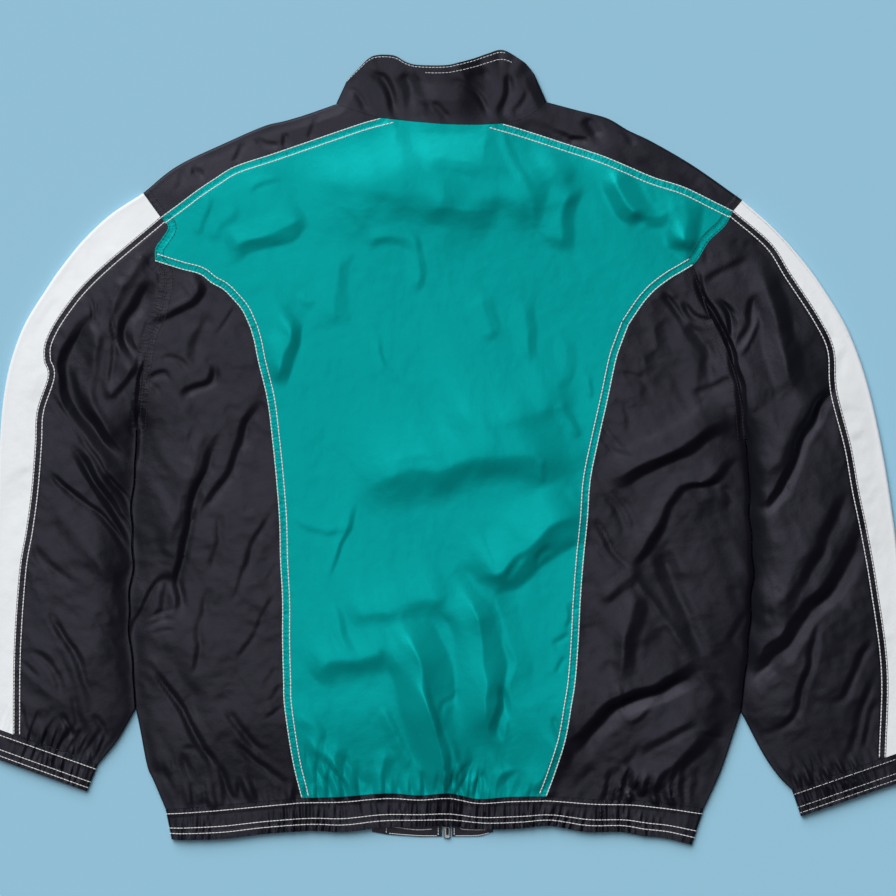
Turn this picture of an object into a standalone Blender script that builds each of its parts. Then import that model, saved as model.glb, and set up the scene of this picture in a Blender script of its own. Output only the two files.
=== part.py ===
"""Windbreaker laid flat on its front: every sewn piece as a closed wall.

The back is up and the collar points to +Y.  The lower layer (fronts, sleeve
fronts) lies flat on the floor.  The upper layer is one height over the floor,
shared by all the pieces, so that seams meet; each piece is a wall between
that height and the same height less the wall.  Pieces that go round a fold
(yokes, stripes, collar, hem, cuffs and the side edges) turn over a half
ellipse and come back along the floor.

Tables of points are in millimetres across and down the photographed square of
896 mm, and at() brings them to the frame.
"""
import math

import bmesh
import bpy
import numpy as np
from mathutils import Matrix

MM = 0.001
SQUARE = 896.0          # side of the photographed square
CENTRE_DOWN = 447.5     # middle of the garment, down the square
WALL = 1.5              # cloth wall
GAP = 0.3               # between neighbours at a seam
BEND = 2.5              # half width of a folded edge
EDGE_HIGH = 5.0         # height of the upper layer just inside a folded edge
PUFF = 10.0             # how much higher the cloth lies away from its edges
LEAST = 4.9             # the upper layer is never lower: the zip is under it
FLAT = 6.6              # its height at the collar, hem and cuffs
RIPPLE = 0.6            # gathers of the hem and cuffs, up and down
REACH = 30.0            # distance over which it rises
CREASE_GAP = 0.8        # between sleeve and body where they lie side by side
FRONT_WRAP = 30.0       # yokes and stripes come this far round to the front
SIDE_WRAP = 6.0         # side backs and sleeve backs come this far round
ARC = (50.0, 0.0, -50.0)    # angles of the points round a folded edge

ZIP_ACROSS = 447.0      # the zip's line
ZIP_OPEN = 5.0          # half the opening between the fronts
CHAIN_HALF, CHAIN_HIGH = 2.5, 2.7
TAPE_WIDE, TAPE_WALL = 11.0, 1.0
SLIDER = {"half": 4.5, "long": 12.0, "plate": 1.2, "top": 68.0}
LIFT = 4.7              # the zip's end is held up by its slider and pull tab
TAB = {"half": 3.5, "long": 23.0, "thick": 1.0, "slot": 5.5, "tilt": 4.7}


def at(points):
    """Millimetres across and down the square to x, y in the frame."""
    p = np.asarray(points, float)
    return np.stack([p[..., 0] - SQUARE / 2, CENTRE_DOWN - p[..., 1]], -1)


def smooth(points, parts):
    """Catmull-Rom curve through the points, cut in equal lengths."""
    p = at(points)
    p = np.vstack([2 * p[0] - p[1], p, 2 * p[-1] - p[-2]])
    t = np.linspace(0, 1, 24, endpoint=False)[:, None]
    runs = []
    for a, b, c, d in zip(p, p[1:], p[2:], p[3:]):
        runs.append(0.5 * (2 * b + (c - a) * t + (2 * a - 5 * b + 4 * c - d) * t ** 2
                           + (3 * b - a - 3 * c + d) * t ** 3))
    fine = np.vstack(runs + [p[-2:-1]])
    along = np.concatenate([[0], np.cumsum(np.linalg.norm(np.diff(fine, axis=0), axis=1))])
    stops = np.linspace(0, along[-1], parts + 1)
    return np.stack([np.interp(stops, along, fine[:, k]) for k in (0, 1)], -1)


# ------------------------------------------------------------- the seams
# name: (number of stretches, through these points)
SEAMS = {
    "yoke_L": (8, [(380, 118), (341, 130), (306, 142), (271, 154), (235, 166),
                   (197, 190), (160.5, 217)]),
    "yoke_R": (8, [(503, 123.6), (562, 142), (600, 154.5), (640, 172),
                   (682, 186), (716, 202), (733.4, 210.6)]),
    "neck_L": (3, [(336, 104), (356, 111), (380, 118)]),
    "neck": (4, [(380, 118), (418, 122), (447, 124.3), (477, 124.8),
                 (503, 123.6)]),
    "neck_R": (3, [(503, 123.6), (526, 117.5), (547, 102)]),
    "yoke_end_L": (3, [(160.5, 217), (143, 193)]),
    "yoke_end_R": (3, [(733.4, 210.6), (742.5, 200)]),
    "wing_end_L": (3, [(160.5, 217), (168, 227), (160, 241), (155, 261.6)]),
    "wing_end_R": (3, [(733.4, 210.6), (718, 231), (703, 249), (693, 265.7)]),
    "wing_L": (7, [(155, 261.6), (181, 269.8), (200, 275), (223, 290),
                   (242.4, 311.6), (250, 328)]),
    "wing_R": (7, [(693, 265.7), (670.6, 279), (656, 290), (640, 308.6),
                   (629, 325)]),
    "side_L": (25, [(250, 328), (257, 358), (267, 400), (276, 480),
                    (280, 560), (282, 640), (284, 706), (292, 760),
                    (301, 798)]),
    "side_R": (25, [(629, 325), (616, 360), (608, 400), (591, 480),
                    (584, 560), (579, 640), (572, 706), (559, 762),
                    (547, 796.5)]),
    "arm_L": (8, [(155, 261.6), (165, 275), (160, 309), (148.6, 337),
                  (142, 380), (137, 430)]),
    "arm_R": (8, [(693, 265.7), (702, 290), (713.5, 323), (733.7, 366),
                  (742, 400), (746, 440)]),
    "stripe_L": (24, [(160.5, 217), (94, 274), (63, 310), (45, 345),
                      (48, 376), (37, 411), (31.4, 491), (19.4, 571),
                      (14, 650), (13, 734.5)]),
    "stripe_R": (24, [(733.4, 210.6), (771, 243), (791, 274), (819, 317),
                      (835, 352), (837, 391), (859, 491), (877, 585),
                      (888, 670), (886, 757.5)]),
    "hem_L": (7, [(165.5, 809.5), (196, 807.5), (253, 802.5), (301, 798)]),
    "hem": (20, [(301, 798), (340, 797), (386, 793.5), (420, 795.5),
                 (449, 793.5), (478, 799), (510, 797), (547, 796.5)]),
    "hem_R": (7, [(547, 796.5), (597, 799.5), (643, 801), (704, 808.5)]),
    "cuff_L": (7, [(13, 734.5), (98, 764.5)]),
    "cuff_R": (7, [(886, 757.5), (792, 790)]),
}
# the folded edges, outermost line of the garment
EDGES = {
    "shoulder_L": (8, [(336, 104), (306, 114.5), (264, 126), (227, 142),
                       (177, 166), (143, 193)]),
    "shoulder_R": (8, [(547, 102), (577, 110), (623, 126), (653, 142),
                       (694, 166), (742.5, 200)]),
    "sleeve_L": (24, [(143, 193), (111, 214), (74, 250), (48, 286),
                      (20, 334), (3, 400), (-4, 520), (-8, 640),
                      (-6, 727.7)]),
    "sleeve_R": (24, [(742.5, 200), (785, 238), (822, 286), (850, 334),
                      (872, 400), (891, 500), (903.3, 620), (903, 751.5)]),
    "crease_L": (12, [(137, 430), (133, 505), (132, 554), (130, 637),
                      (133, 671), (135.7, 709)]),
    "crease_R": (12, [(746, 440), (751, 519), (752, 610), (747, 654),
                      (741, 712)]),
    "body_L": (5, [(135.7, 709), (140, 730), (145, 760), (153.5, 781),
                   (165.5, 809.5)]),
    "body_R": (5, [(741, 712), (733, 736), (721, 772), (704, 808.5)]),
    "under_L": (4, [(135.7, 709), (118, 742), (98, 764.5)]),
    "under_R": (4, [(741, 712), (763, 754), (792, 790)]),
    "cuff_out_L": (2, [(-6, 727.7), (-8, 757)]),
    "cuff_in_L": (2, [(98, 764.5), (87, 791.5)]),
    "cuff_out_R": (2, [(903, 751.5), (904, 781)]),
    "cuff_in_R": (2, [(792, 790), (801, 816.5)]),
    "collar_L": (4, [(336, 104), (342, 93), (346.5, 81)]),
    "collar_R": (4, [(547, 102), (541, 88), (535, 75)]),
    "hem_end_L": (3, [(165.5, 809.5), (171.5, 839.5)]),
    "hem_end_R": (3, [(704, 808.5), (692, 845)]),
}
COLLAR_TOP = [(346.5, 81), (359, 68), (377, 55), (394, 55.5), (418, 65),
              (444, 65.5), (474, 58.5), (503, 50), (521, 60), (535, 75)]
HEM_FOOT = [(171.5, 839.5), (225, 838.5), (265, 834), (311, 831),
            (386, 828.5), (449, 827.5), (489, 830), (550, 826.5),
            (586, 832), (620, 832), (666, 838.5), (692, 845)]
# lines that stay open, and how near and how far from them the cloth rises
OPEN_ENDS = [
    ([smooth(COLLAR_TOP, 12)], 52, 95),
    ([smooth(HEM_FOOT, 24)], 42, 92),
    ([at([(-8, 757), (87, 791.5)]), at([(904, 781), (801, 816.5)])], 32, 78),
]
TAB_FOOT = [(372, 832), (386.4, 834.5), (420, 836.8), (480, 836.2),
            (493, 832)]

# ------------------------------------------------------------- the folds
# ridge (+) or trough (-) from one point to another, in mm across and down:
# bow = how far its middle stands off the chord, wide = half width of its
# steeper and its gentler side, high = height
FOLDS = [
    # centre back
    (290, 192, 570, 192, 3, 12, 16, 4.0),
    (300, 211, 545, 216, -4, 10, 14, -3.5),
    (318, 203, 226, 266, -6, 11, 12, -4.5),
    (330, 500, 592, 452, 16, 12, 22, 4.0),
    (340, 520, 592, 482, 14, 10, 20, -3.0),
    (440, 428, 560, 424, -12, 16, 20, -3.0),
    (462, 574, 588, 506, 4, 9, 14, 5.0),
    (486, 596, 588, 532, -6, 9, 12, -4.5),
    (330, 606, 470, 586, 6, 12, 16, 2.5),
    (478, 590, 484, 790, -8, 10, 12, 4.5),
    (494, 590, 502, 740, 4, 9, 10, -5.0),
    (520, 600, 524, 790, 5, 10, 16, 4.0),
    (402, 622, 436, 798, -4, 9, 12, 5.0),
    (424, 640, 450, 790, -6, 9, 10, -5.5),
    (382, 700, 384, 798, 0, 10, 12, 3.0),
    (316, 318, 276, 386, 3, 9, 12, -3.5),
    (343, 250, 345, 340, 0, 14, 14, -2.0),
    # left side back
    (220, 276, 152, 340, 0, 9, 10, -4.0),
    (232, 352, 178, 400, -12, 9, 10, -4.5),
    (182, 440, 148, 600, 0, 12, 16, 4.5),
    (222, 432, 172, 634, -16, 9, 10, -6.5),
    (226, 470, 196, 660, -6, 10, 14, 4.5),
    (262, 410, 205, 530, -4, 9, 10, -3.5),
    (182, 566, 132, 640, 4, 9, 12, -4.5),
    (150, 660, 222, 790, -6, 9, 10, -3.5),
    (216, 690, 284, 786, 4, 9, 12, -3.5),
    # left sleeve
    (112, 268, 88, 400, 12, 10, 12, 4.5),
    (104, 280, 66, 376, 8, 9, 10, -6.0),
    (66, 370, 134, 476, 10, 9, 10, -6.5),
    (158, 272, 120, 350, 6, 10, 12, -5.5),
    (88, 470, 134, 556, -2, 10, 12, -6.0),
    (44, 474, 128, 552, -4, 9, 12, 3.5),
    (44, 606, 102, 724, -10, 9, 12, -5.0),
    (28, 640, 84, 742, -10, 9, 12, -4.0),
    # right side back
    (664, 296, 722, 390, 4, 10, 14, -3.5),
    (746, 412, 596, 492, -10, 9, 12, -6.5),
    (744, 396, 600, 466, -10, 14, 18, 4.5),
    (736, 462, 632, 572, 6, 9, 12, -4.5),
    (652, 536, 704, 672, -6, 12, 16, -4.0),
    (640, 588, 612, 690, 0, 12, 16, 3.5),
    (704, 664, 562, 772, 8, 11, 14, -7.5),
    (728, 686, 590, 792, 10, 12, 16, 5.5),
    (716, 744, 590, 806, 8, 9, 12, -3.5),
    # right sleeve
    (758, 256, 790, 400, -8, 12, 16, -4.5),
    (718, 290, 732, 366, -4, 9, 10, -5.0),
    (832, 392, 752, 520, -10, 11, 12, -7.5),
    (800, 380, 762, 490, -8, 14, 16, 4.0),
    (866, 520, 748, 708, -6, 11, 14, -7.5),
    (836, 500, 764, 640, -6, 14, 18, 4.5),
    (860, 592, 778, 744, -8, 10, 12, -4.5),
    (874, 650, 850, 764, 4, 9, 12, -3.5),
    # the neck seam
    (336, 108, 547, 108, -12, 9, 12, -2.5),
]


LINE = {name: smooth(points, parts)
        for name, (parts, points) in {**SEAMS, **EDGES}.items()}


def run(*names):
    """Lines end to end; a name with a minus is taken backwards."""
    out = []
    for name in names:
        line = LINE[name[1:]][::-1] if name[0] == "-" else LINE[name]
        out.append(line if not out else line[1:])
    return np.vstack(out)


# ------------------------------------------------------------- the height
def distance(p, lines):
    """Distance of each point to the nearest of some lines."""
    a = np.vstack([line[:-1] for line in lines])
    way = np.vstack([line[1:] for line in lines]) - a
    flat = p.reshape(-1, 1, 2)
    t = np.clip(((flat - a) * way).sum(-1) / (way ** 2).sum(-1), 0, 1)
    near = a + way * t[..., None]
    return np.linalg.norm(flat - near, axis=-1).min(1).reshape(p.shape[:-1])


def step(x, low, high):
    """0 below low, 1 above high, smooth between."""
    t = np.clip((x - low) / (high - low), 0, 1)
    return t * t * (3 - 2 * t)


def lift(p):
    """How far the lower layer is held up, at the zip's end in the collar."""
    x = np.abs(p[..., 0] - (ZIP_ACROSS - SQUARE / 2))
    down = CENTRE_DOWN - p[..., 1]
    return LIFT * (1 - step(x, 8, 40)) * np.clip((133 - down) / 33, 0, 1)


def height(p):
    """Top of the upper layer: the rise from the edges plus every fold."""
    d = distance(p, [LINE[name] for name in EDGES])
    rise = 1 - np.exp(-np.maximum(d - BEND, 0) / REACH)
    z = EDGE_HIGH + PUFF * rise
    for x0, y0, x1, y1, bow, steep, gentle, high in FOLDS:
        a, b = at((x0, y0)), at((x1, y1))
        way = b - a
        long = np.linalg.norm(way)
        way = way / long
        s = (p - a) @ way / long
        off = (p - a) @ np.array([-way[1], way[0]]) - bow * 4 * s * (1 - s)
        wide = np.where(off > 0, steep, gentle)
        ends = step(s, -0.08, 0.2) * (1 - step(s, 0.8, 1.08))
        z = z + high * np.exp(-(off / wide) ** 2) * ends * (1 - np.exp(-np.maximum(d - BEND, 0) / 14))
    held = lift(p)
    z = np.maximum(z, LEAST + held)
    for ends, near, far in OPEN_ENDS:
        loose = step(distance(p, ends), near, far)
        z = z * loose + np.minimum(z, FLAT + held) * (1 - loose)
    return z


# ------------------------------------------------------------- the walls
def normal(line):
    """Unit normal to the left of each point's way along the line."""
    way = np.gradient(line, axis=0)
    way /= np.linalg.norm(way, axis=1)[:, None]
    return np.stack([-way[:, 1], way[:, 0]], -1)


def patch(left, right, top, foot, bow_top=1.6, bow_foot=1.6):
    """Rows of points between four lines that meet at their ends.

    A row runs straight from left to right, plus the top line's departure
    from its chord, fading downwards, and the foot line's, fading upwards.
    """
    v = np.linspace(0, 1, len(left))[:, None, None]
    u = np.linspace(0, 1, len(top))[None, :, None]
    rows = left[:, None] * (1 - u) + right[:, None] * u
    for line, weight in ((top, (1 - v) ** bow_top), (foot, v ** bow_foot)):
        chord = line[0] * (1 - u) + line[-1] * u
        rows = rows + weight * (line[None] - chord)
    return rows


def inset(rows, left=0.0, right=0.0, top=0.0, foot=0.0):
    """The rows with each side moved inwards, square to it, by its distance."""
    out = rows.copy()
    every = slice(None)
    for index, beside, by in (((every, 0), (every, 1), left), ((every, -1), (every, -2), right),
                              ((0, every), (1, every), top), ((-1, every), (-2, every), foot)):
        n = normal(rows[index])
        side = np.sign(((rows[beside] - rows[index]) * n).sum())
        out[index] += side * n * np.asarray(by, float).reshape(-1, 1)
    return out


def upper(plan):
    """Outer and inner points of the upper layer over plan points."""
    z = height(plan)
    return (np.dstack([plan, z]), np.dstack([plan, z - WALL]))


def turned(ends, out, floor):
    """Round a folded edge from the last upper point to the floor.

    ends: plan point where the fold starts; out: unit way outwards; floor:
    plan points on the floor after the fold, from the fold inwards.
    """
    z = height(ends)
    outer, inner = [], []
    for angle in ARC:
        c, s = math.cos(math.radians(angle)), math.sin(math.radians(angle))
        outer.append(np.concatenate([ends + out * BEND * c, (z / 2 * (1 + s))[:, None]], 1))
        inner.append(np.concatenate([ends + out * (BEND - WALL) * c,
                                     (z / 2 + (z / 2 - WALL) * s)[:, None]], 1))
    for plan in [ends] + floor:
        low = lift(plan)[:, None]
        outer.append(np.concatenate([plan, low], 1))
        inner.append(np.concatenate([plan, low + WALL], 1))
    return np.stack(outer, 1), np.stack(inner, 1)


def material(name, colour, rough, metal):
    """Principled material of one colour."""
    m = bpy.data.materials.new(name)
    m.use_nodes = True
    shader = m.node_tree.nodes["Principled BSDF"]
    shader.inputs["Base Color"].default_value = (*colour, 1)
    shader.inputs["Roughness"].default_value = rough
    shader.inputs["Metallic"].default_value = metal
    m.diffuse_color = (*colour, 1)
    return m


COLOURS = {
    "teal": ((0.01, 0.28, 0.26), 0.5, 0.0),
    "black": ((0.028, 0.026, 0.038), 0.5, 0.0),
    "white": ((0.82, 0.84, 0.85), 0.5, 0.0),
    "tape": ((0.02, 0.02, 0.024), 0.8, 0.0),
    "metal": ((0.45, 0.45, 0.46), 0.35, 1.0),
}
GARMENT = bpy.data.collections.new("windbreaker")
CUTTERS = bpy.data.collections.new("cutters")


def add(name, mesh, colour):
    """Object of the garment with a material of its own."""
    obj = bpy.data.objects.new(name, mesh)
    GARMENT.objects.link(obj)
    obj.data.materials.append(material(name, *COLOURS[colour]))
    return obj


def wall(name, grids, colour, closed=False):
    """Closed wall from grids of outer and inner points, welded together."""
    mesh = bmesh.new()
    pairs = {}

    def pair(o, i):
        key = tuple(np.round(o, 4)) + tuple(np.round(i, 4))
        if key not in pairs:
            pairs[key] = (mesh.verts.new(o * MM), mesh.verts.new(i * MM))
        return pairs[key]

    edges = {}
    for outer, inner in grids:
        ids = [[pair(o, i) for o, i in zip(ro, ri)] for ro, ri in zip(outer, inner)]
        if closed:
            ids = [row + row[:1] for row in ids]
        for r0, r1 in zip(ids, ids[1:]):
            for a, b, c, d in zip(r0, r0[1:], r1[1:], r1):
                mesh.faces.new([q[0] for q in (a, d, c, b)])
                mesh.faces.new([q[1] for q in (a, b, c, d)])
                for e0, e1 in ((a, d), (d, c), (c, b), (b, a)):
                    if (e1, e0) in edges:
                        del edges[(e1, e0)]
                    else:
                        edges[(e0, e1)] = True
    for a, b in edges:
        mesh.faces.new([b[0], a[0], a[1], b[1]])
    bmesh.ops.triangulate(mesh, faces=mesh.faces)
    bmesh.ops.recalc_face_normals(mesh, faces=mesh.faces)
    data = bpy.data.meshes.new(name)
    mesh.to_mesh(data)
    mesh.free()
    return add(name, data, colour)


def plate(name, outline, low, high, colour):
    """Flat piece: a closed outline between two heights."""
    mesh = bmesh.new()
    face = mesh.faces.new([mesh.verts.new((x * MM, y * MM, low * MM)) for x, y in outline])
    grown = bmesh.ops.extrude_face_region(mesh, geom=[face])
    bmesh.ops.translate(mesh, vec=(0, 0, (high - low) * MM),
                        verts=[g for g in grown["geom"] if isinstance(g, bmesh.types.BMVert)])
    bmesh.ops.triangulate(mesh, faces=mesh.faces)
    bmesh.ops.recalc_face_normals(mesh, faces=mesh.faces)
    data = bpy.data.meshes.new(name)
    mesh.to_mesh(data)
    mesh.free()
    return add(name, data, colour)


def block(name, across, down, heights, colour):
    """Box from its ranges across, down and up."""
    (x0, y0), (x1, y1) = at((across[0], down[1])), at((across[1], down[0]))
    return plate(name, [(x0, y0), (x1, y0), (x1, y1), (x0, y1)], *heights, colour)


def folded(name, rows, depth, colour, start=0, apart=0.0, shared=(True, True)):
    """Upper rows that go on round a folded edge from row start on.

    The rows' last points are on the seam before start and on the folded
    edge after it.  The fold faces square out of the edge, and along the
    row's own line at an end row that it shares with a neighbour.  It stands
    in from the edge by apart and comes back over the floor by depth.
    Returns the line on the floor where the flat piece beside it ends.
    """
    edge = rows[start:, -1]
    way = edge - rows[start:, -2]
    way /= np.linalg.norm(way, axis=1)[:, None]
    n = normal(edge)
    n *= np.sign((n * way).sum(1))[:, None]
    k = np.arange(len(edge))
    along = np.maximum(shared[0] * (1 - step(k, 0, 2.5)), shared[1] * (1 - step(k[::-1], 0, 2.5)))
    out = n * (1 - along[:, None]) + way * along[:, None]
    out /= np.linalg.norm(out, axis=1)[:, None]
    seam = np.where(np.arange(len(rows)) < start, GAP / 2, 0)
    plan = inset(rows, left=GAP / 2, right=seam, top=GAP / 2, foot=GAP / 2)
    plan[start:, -1] -= out * (BEND + np.broadcast_to(apart, len(edge))[:, None])
    ends = plan[start:, -1]
    top = upper(plan)
    low = turned(ends, out, [ends - out * depth])
    turn = [np.concatenate([t[start:, -1:], l], 1) for t, l in zip(top, low)]
    wall(name, [top, turn], colour)
    return ends - out * (depth + GAP)


FLOOR = {}      # lines on the floor that the flat pieces end at


def side_pieces(side):
    """Yoke, side back, stripe and sleeve back of one side."""
    seam = lambda name: LINE[name + "_" + side]

    # yoke: stations from the neck to the sleeve, each from seam to fold
    rows = patch(seam("yoke"), seam("shoulder"), seam("neck")[::-1] if side == "L"
                 else seam("neck"), seam("yoke_end"))
    FLOOR["yoke_" + side] = folded("yoke_" + side, rows, FRONT_WRAP, "black")

    # stripe: stations from the yoke to the cuff
    cuff = seam("cuff")
    foot = np.linspace(cuff[0], seam("sleeve")[-1], 4)
    rows = patch(seam("stripe"), seam("sleeve"), seam("yoke_end"), foot)
    FLOOR["stripe_" + side] = folded("stripe_" + side, rows, FRONT_WRAP, "white")

    # side back: rows from the curved seam to the armhole, crease and side
    arm, crease, body = (len(seam(k)) - 1 for k in ("arm", "crease", "body"))
    outer = run("arm_" + side, "crease_" + side, "body_" + side)
    rows = patch(seam("side"), outer, seam("wing")[::-1],
                 seam("hem")[::-1] if side == "L" else seam("hem"))
    apart = np.concatenate([np.full(crease, CREASE_GAP / 2), np.linspace(CREASE_GAP / 2, 0, body + 1)])
    FLOOR["side_" + side] = folded("side_back_" + side, rows, SIDE_WRAP, "black",
                                   start=arm, apart=apart, shared=(False, True))

    # sleeve back: rows from the stripe's seam to the armhole and the crease
    upper_arm, lower_arm = seam("arm")[:5], seam("arm")[4:]
    long_crease = smooth(EDGES["crease_" + side][1], 16)
    inner = np.vstack([lower_arm, long_crease[1:], seam("under")[1:]])
    rows = patch(seam("stripe"), inner, np.vstack([seam("wing_end"), upper_arm[1:]]), cuff)
    apart = np.concatenate([np.full(16, CREASE_GAP / 2), np.linspace(CREASE_GAP / 2, 0, 5)])
    FLOOR["sleeve_" + side] = folded("sleeve_back_" + side, rows, SIDE_WRAP, "black",
                                     start=len(lower_arm) - 1, apart=apart, shared=(False, True))


def centre_back():
    """Teal back with its wings."""
    left = run("wing_end_L", "wing_L", "side_L")
    right = run("wing_end_R", "wing_R", "side_R")
    top = run("-yoke_L", "neck", "yoke_R")
    rows = patch(left, right, top, LINE["hem"], bow_top=2.4)
    wall("centre_back", [upper(inset(rows, *(GAP / 2,) * 4))], "teal")


def ring(name, layers, colour, ripple=0.0):
    """Flattened ring through its layers, from the seam to the open edge.

    ripple is the height of the gathers: every other upper point is up.

    A layer is (floor points from their end to the first fold or none, upper
    points from fold to fold, floor points from the last fold on).  With no
    first floor points the ring is whole: it closes on itself.
    """
    outer, inner = [], []
    for number, (before, top, after) in enumerate(layers):
        z = height(top)
        if number:
            z[1:-1] += ripple * (-1.0) ** np.arange(len(z) - 2)
        parts = [(np.column_stack([top, z]), np.column_stack([top, z - WALL]))]
        for end, prev, floor in ((top[0], top[1], before), (top[-1], top[-2], after)):
            out = (end - prev) / np.linalg.norm(end - prev)
            turn = [t[0] for t in turned(end[None], out[None], [q[None] for q in floor])]
            if end is top[0] or (end == top[0]).all():
                parts.insert(0, tuple(t[::-1] for t in turn))
            else:
                parts.append(tuple(turn))
        outer.append(np.vstack([p[0] for p in parts]))
        inner.append(np.vstack([p[1] for p in parts]))
    wall(name, [(np.array(outer), np.array(inner))], colour, closed=len(layers[0][0]) == 0)


def pulled_in(line, by):
    """The line with both ends moved inwards along it."""
    out = line.copy()
    for a, b in ((0, 1), (-1, -2)):
        way = line[b] - line[a]
        out[a] += way / np.linalg.norm(way) * by
    return out


def halved(line):
    """The line with a point added in the middle of each stretch."""
    out = np.empty((2 * len(line) - 1, 2))
    out[::2] = line
    out[1::2] = (line[1:] + line[:-1]) / 2
    return out


def between(a, b, parts):
    """Points from a to b, both kept."""
    return np.linspace(a, b, parts + 1)


def zip_side(sign, down):
    """Point on the edge of the zip's opening; sign is -1 for the left."""
    return at((ZIP_ACROSS + sign * ZIP_OPEN, down))


def collar():
    """Stand collar: the back over the front, open at the zip."""
    seam = run("neck_L", "neck", "neck_R")
    foot = smooth(COLLAR_TOP, len(seam) - 1)
    layers = []
    for v in np.linspace(0, 1, 5):
        line = seam * (1 - v) + foot * v
        # half the seam's gap, square to the seam
        if v == 0:
            line = line + normal(line) * GAP / 2
        top = pulled_in(line, BEND)
        floors = []
        for sign, end, prev in ((-1, top[0], top[1]), (1, top[-1], top[-2])):
            back = end + (prev - end) / np.linalg.norm(prev - end) * FRONT_WRAP
            mid = at((ZIP_ACROSS + sign * 45, 129)) * (1 - v) + at((ZIP_ACROSS + sign * 45, 64)) * v
            stop = zip_side(sign, 133) * (1 - v) + zip_side(sign, 67) * v
            if v == 0:
                mid, stop = mid + (0, GAP / 2), stop + (0, GAP / 2)
            floors.append(np.vstack([back, between(mid, stop, 4)]))
        layers.append((floors[0], top, floors[1]))
    ring("collar", layers, "black")


TAB_FROM = {"L": 372.0, "R": 493.0}     # where the hem band stops, across


def hem_floor(line, side, stop):
    """Every third point of a hem line on the floor, from the fold to stop."""
    line = line if side == "L" else line[::-1]
    sign = 1 if side == "L" else -1
    inside = line[(line[:, 0] - stop) * sign < -4]
    way = inside[-1] - inside[-2]
    return np.vstack([inside[1::3], inside[-1] + way * (stop - inside[-1][0]) / way[0]])


def hem_band():
    """Elasticated hem: across the back, round both ends, to the flat tabs."""
    seam = run("hem_L", "hem", "hem_R")
    foot = smooth(HEM_FOOT, len(seam) - 1)
    layers = []
    for v in np.linspace(0, 1, 4):
        line = seam * (1 - v) + foot * v
        if v == 0:
            line = line - normal(line) * GAP / 2
        floors = [hem_floor(line, side, TAB_FROM[side] - SQUARE / 2 - sign * GAP)
                  for side, sign in (("L", 1), ("R", -1))]
        layers.append((floors[0], halved(pulled_in(line, BEND)), floors[1]))
    ring("hem_band", layers, "black", RIPPLE)


def cuff(side):
    """Elasticated cuff: a whole ring, flattened."""
    out, inn = LINE["cuff_out_" + side], LINE["cuff_in_" + side]
    layers = []
    for v in np.linspace(0, 1, 3):
        a = out[0] * (1 - v) + out[-1] * v
        b = inn[0] * (1 - v) + inn[-1] * v
        line = between(a, b, 13)
        if v == 0:
            n = normal(line)
            line = line + n * np.sign((n * (inn[-1] - inn[0])).sum()) * GAP / 2
        top = pulled_in(line, BEND)
        way = (b - a) / np.linalg.norm(b - a)
        floor = between(top[-1] - way * 12, top[0] + way * 12, 4)
        layers.append((floor[:0], top, floor))
    ring("cuff_" + side, layers, "black", RIPPLE)


ARM_FRONT = {"L": [(180, 290), (172, 350), (152, 400), (137, 429.5)],
             "R": [(712, 290), (716, 350), (733, 405), (746, 439.5)]}


def fronts(side):
    """Flat pieces on the floor: front, sleeve front and the hem's tab."""
    sign = -1 if side == "L" else 1
    yoke, stripe = FLOOR["yoke_" + side], FLOOR["stripe_" + side]
    body, sleeve = FLOOR["side_" + side], FLOOR["sleeve_" + side]
    up = np.array((0, GAP / 2))
    away = np.array((sign * GAP / 2, 0))    # from the body
    nudge = np.array((0, 0.5))              # clear of the folds' upper ends

    start = (yoke[-1] + stripe[0]) / 2
    arm = smooth([(start[0] + SQUARE / 2, CENTRE_DOWN - start[1])] + ARM_FRONT[side], 8)[1:]
    neck = between(at((ZIP_ACROSS + sign * 45, 129)), zip_side(sign, 133), 4) - up
    hem = run("hem_L", "hem", "hem_R")
    hem = hem_floor(hem, side, zip_side(sign, 0)[0]) + up
    outline = [neck[::-1], yoke, arm - away, [body[0] + nudge], body, hem]
    plate("front_" + side, np.vstack(outline), 0, WALL, "black")

    outline = [stripe, sleeve[::-1], [sleeve[0] + nudge], (arm + away)[::-1]]
    plate("sleeve_front_" + side, np.vstack(outline), 0, WALL, "black")

    low = at(TAB_FOOT)
    edge, stop = at((TAB_FROM[side], 0))[0], zip_side(sign, 0)[0]
    x = np.linspace(edge, stop, 5)
    top = np.interp(x, *(hem if side == "L" else hem[::-1]).T) - GAP
    foot = np.interp(x, *low.T)
    outline = np.vstack([np.column_stack([x, top]), np.column_stack([x, foot])[::-1]])
    plate("hem_tab_" + side, outline, 0, WALL, "black")


def strip(name, across, downs, low, high, colour):
    """Straight strip along the zip that follows the lift."""
    grid = np.array([[at((x, y)) for x in across] for y in downs])
    base = lift(grid * (0, 1) + (ZIP_ACROSS - SQUARE / 2, 0))[..., None]
    wall(name, [(np.dstack([grid, base + high]), np.dstack([grid, base + low]))], colour)


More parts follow.
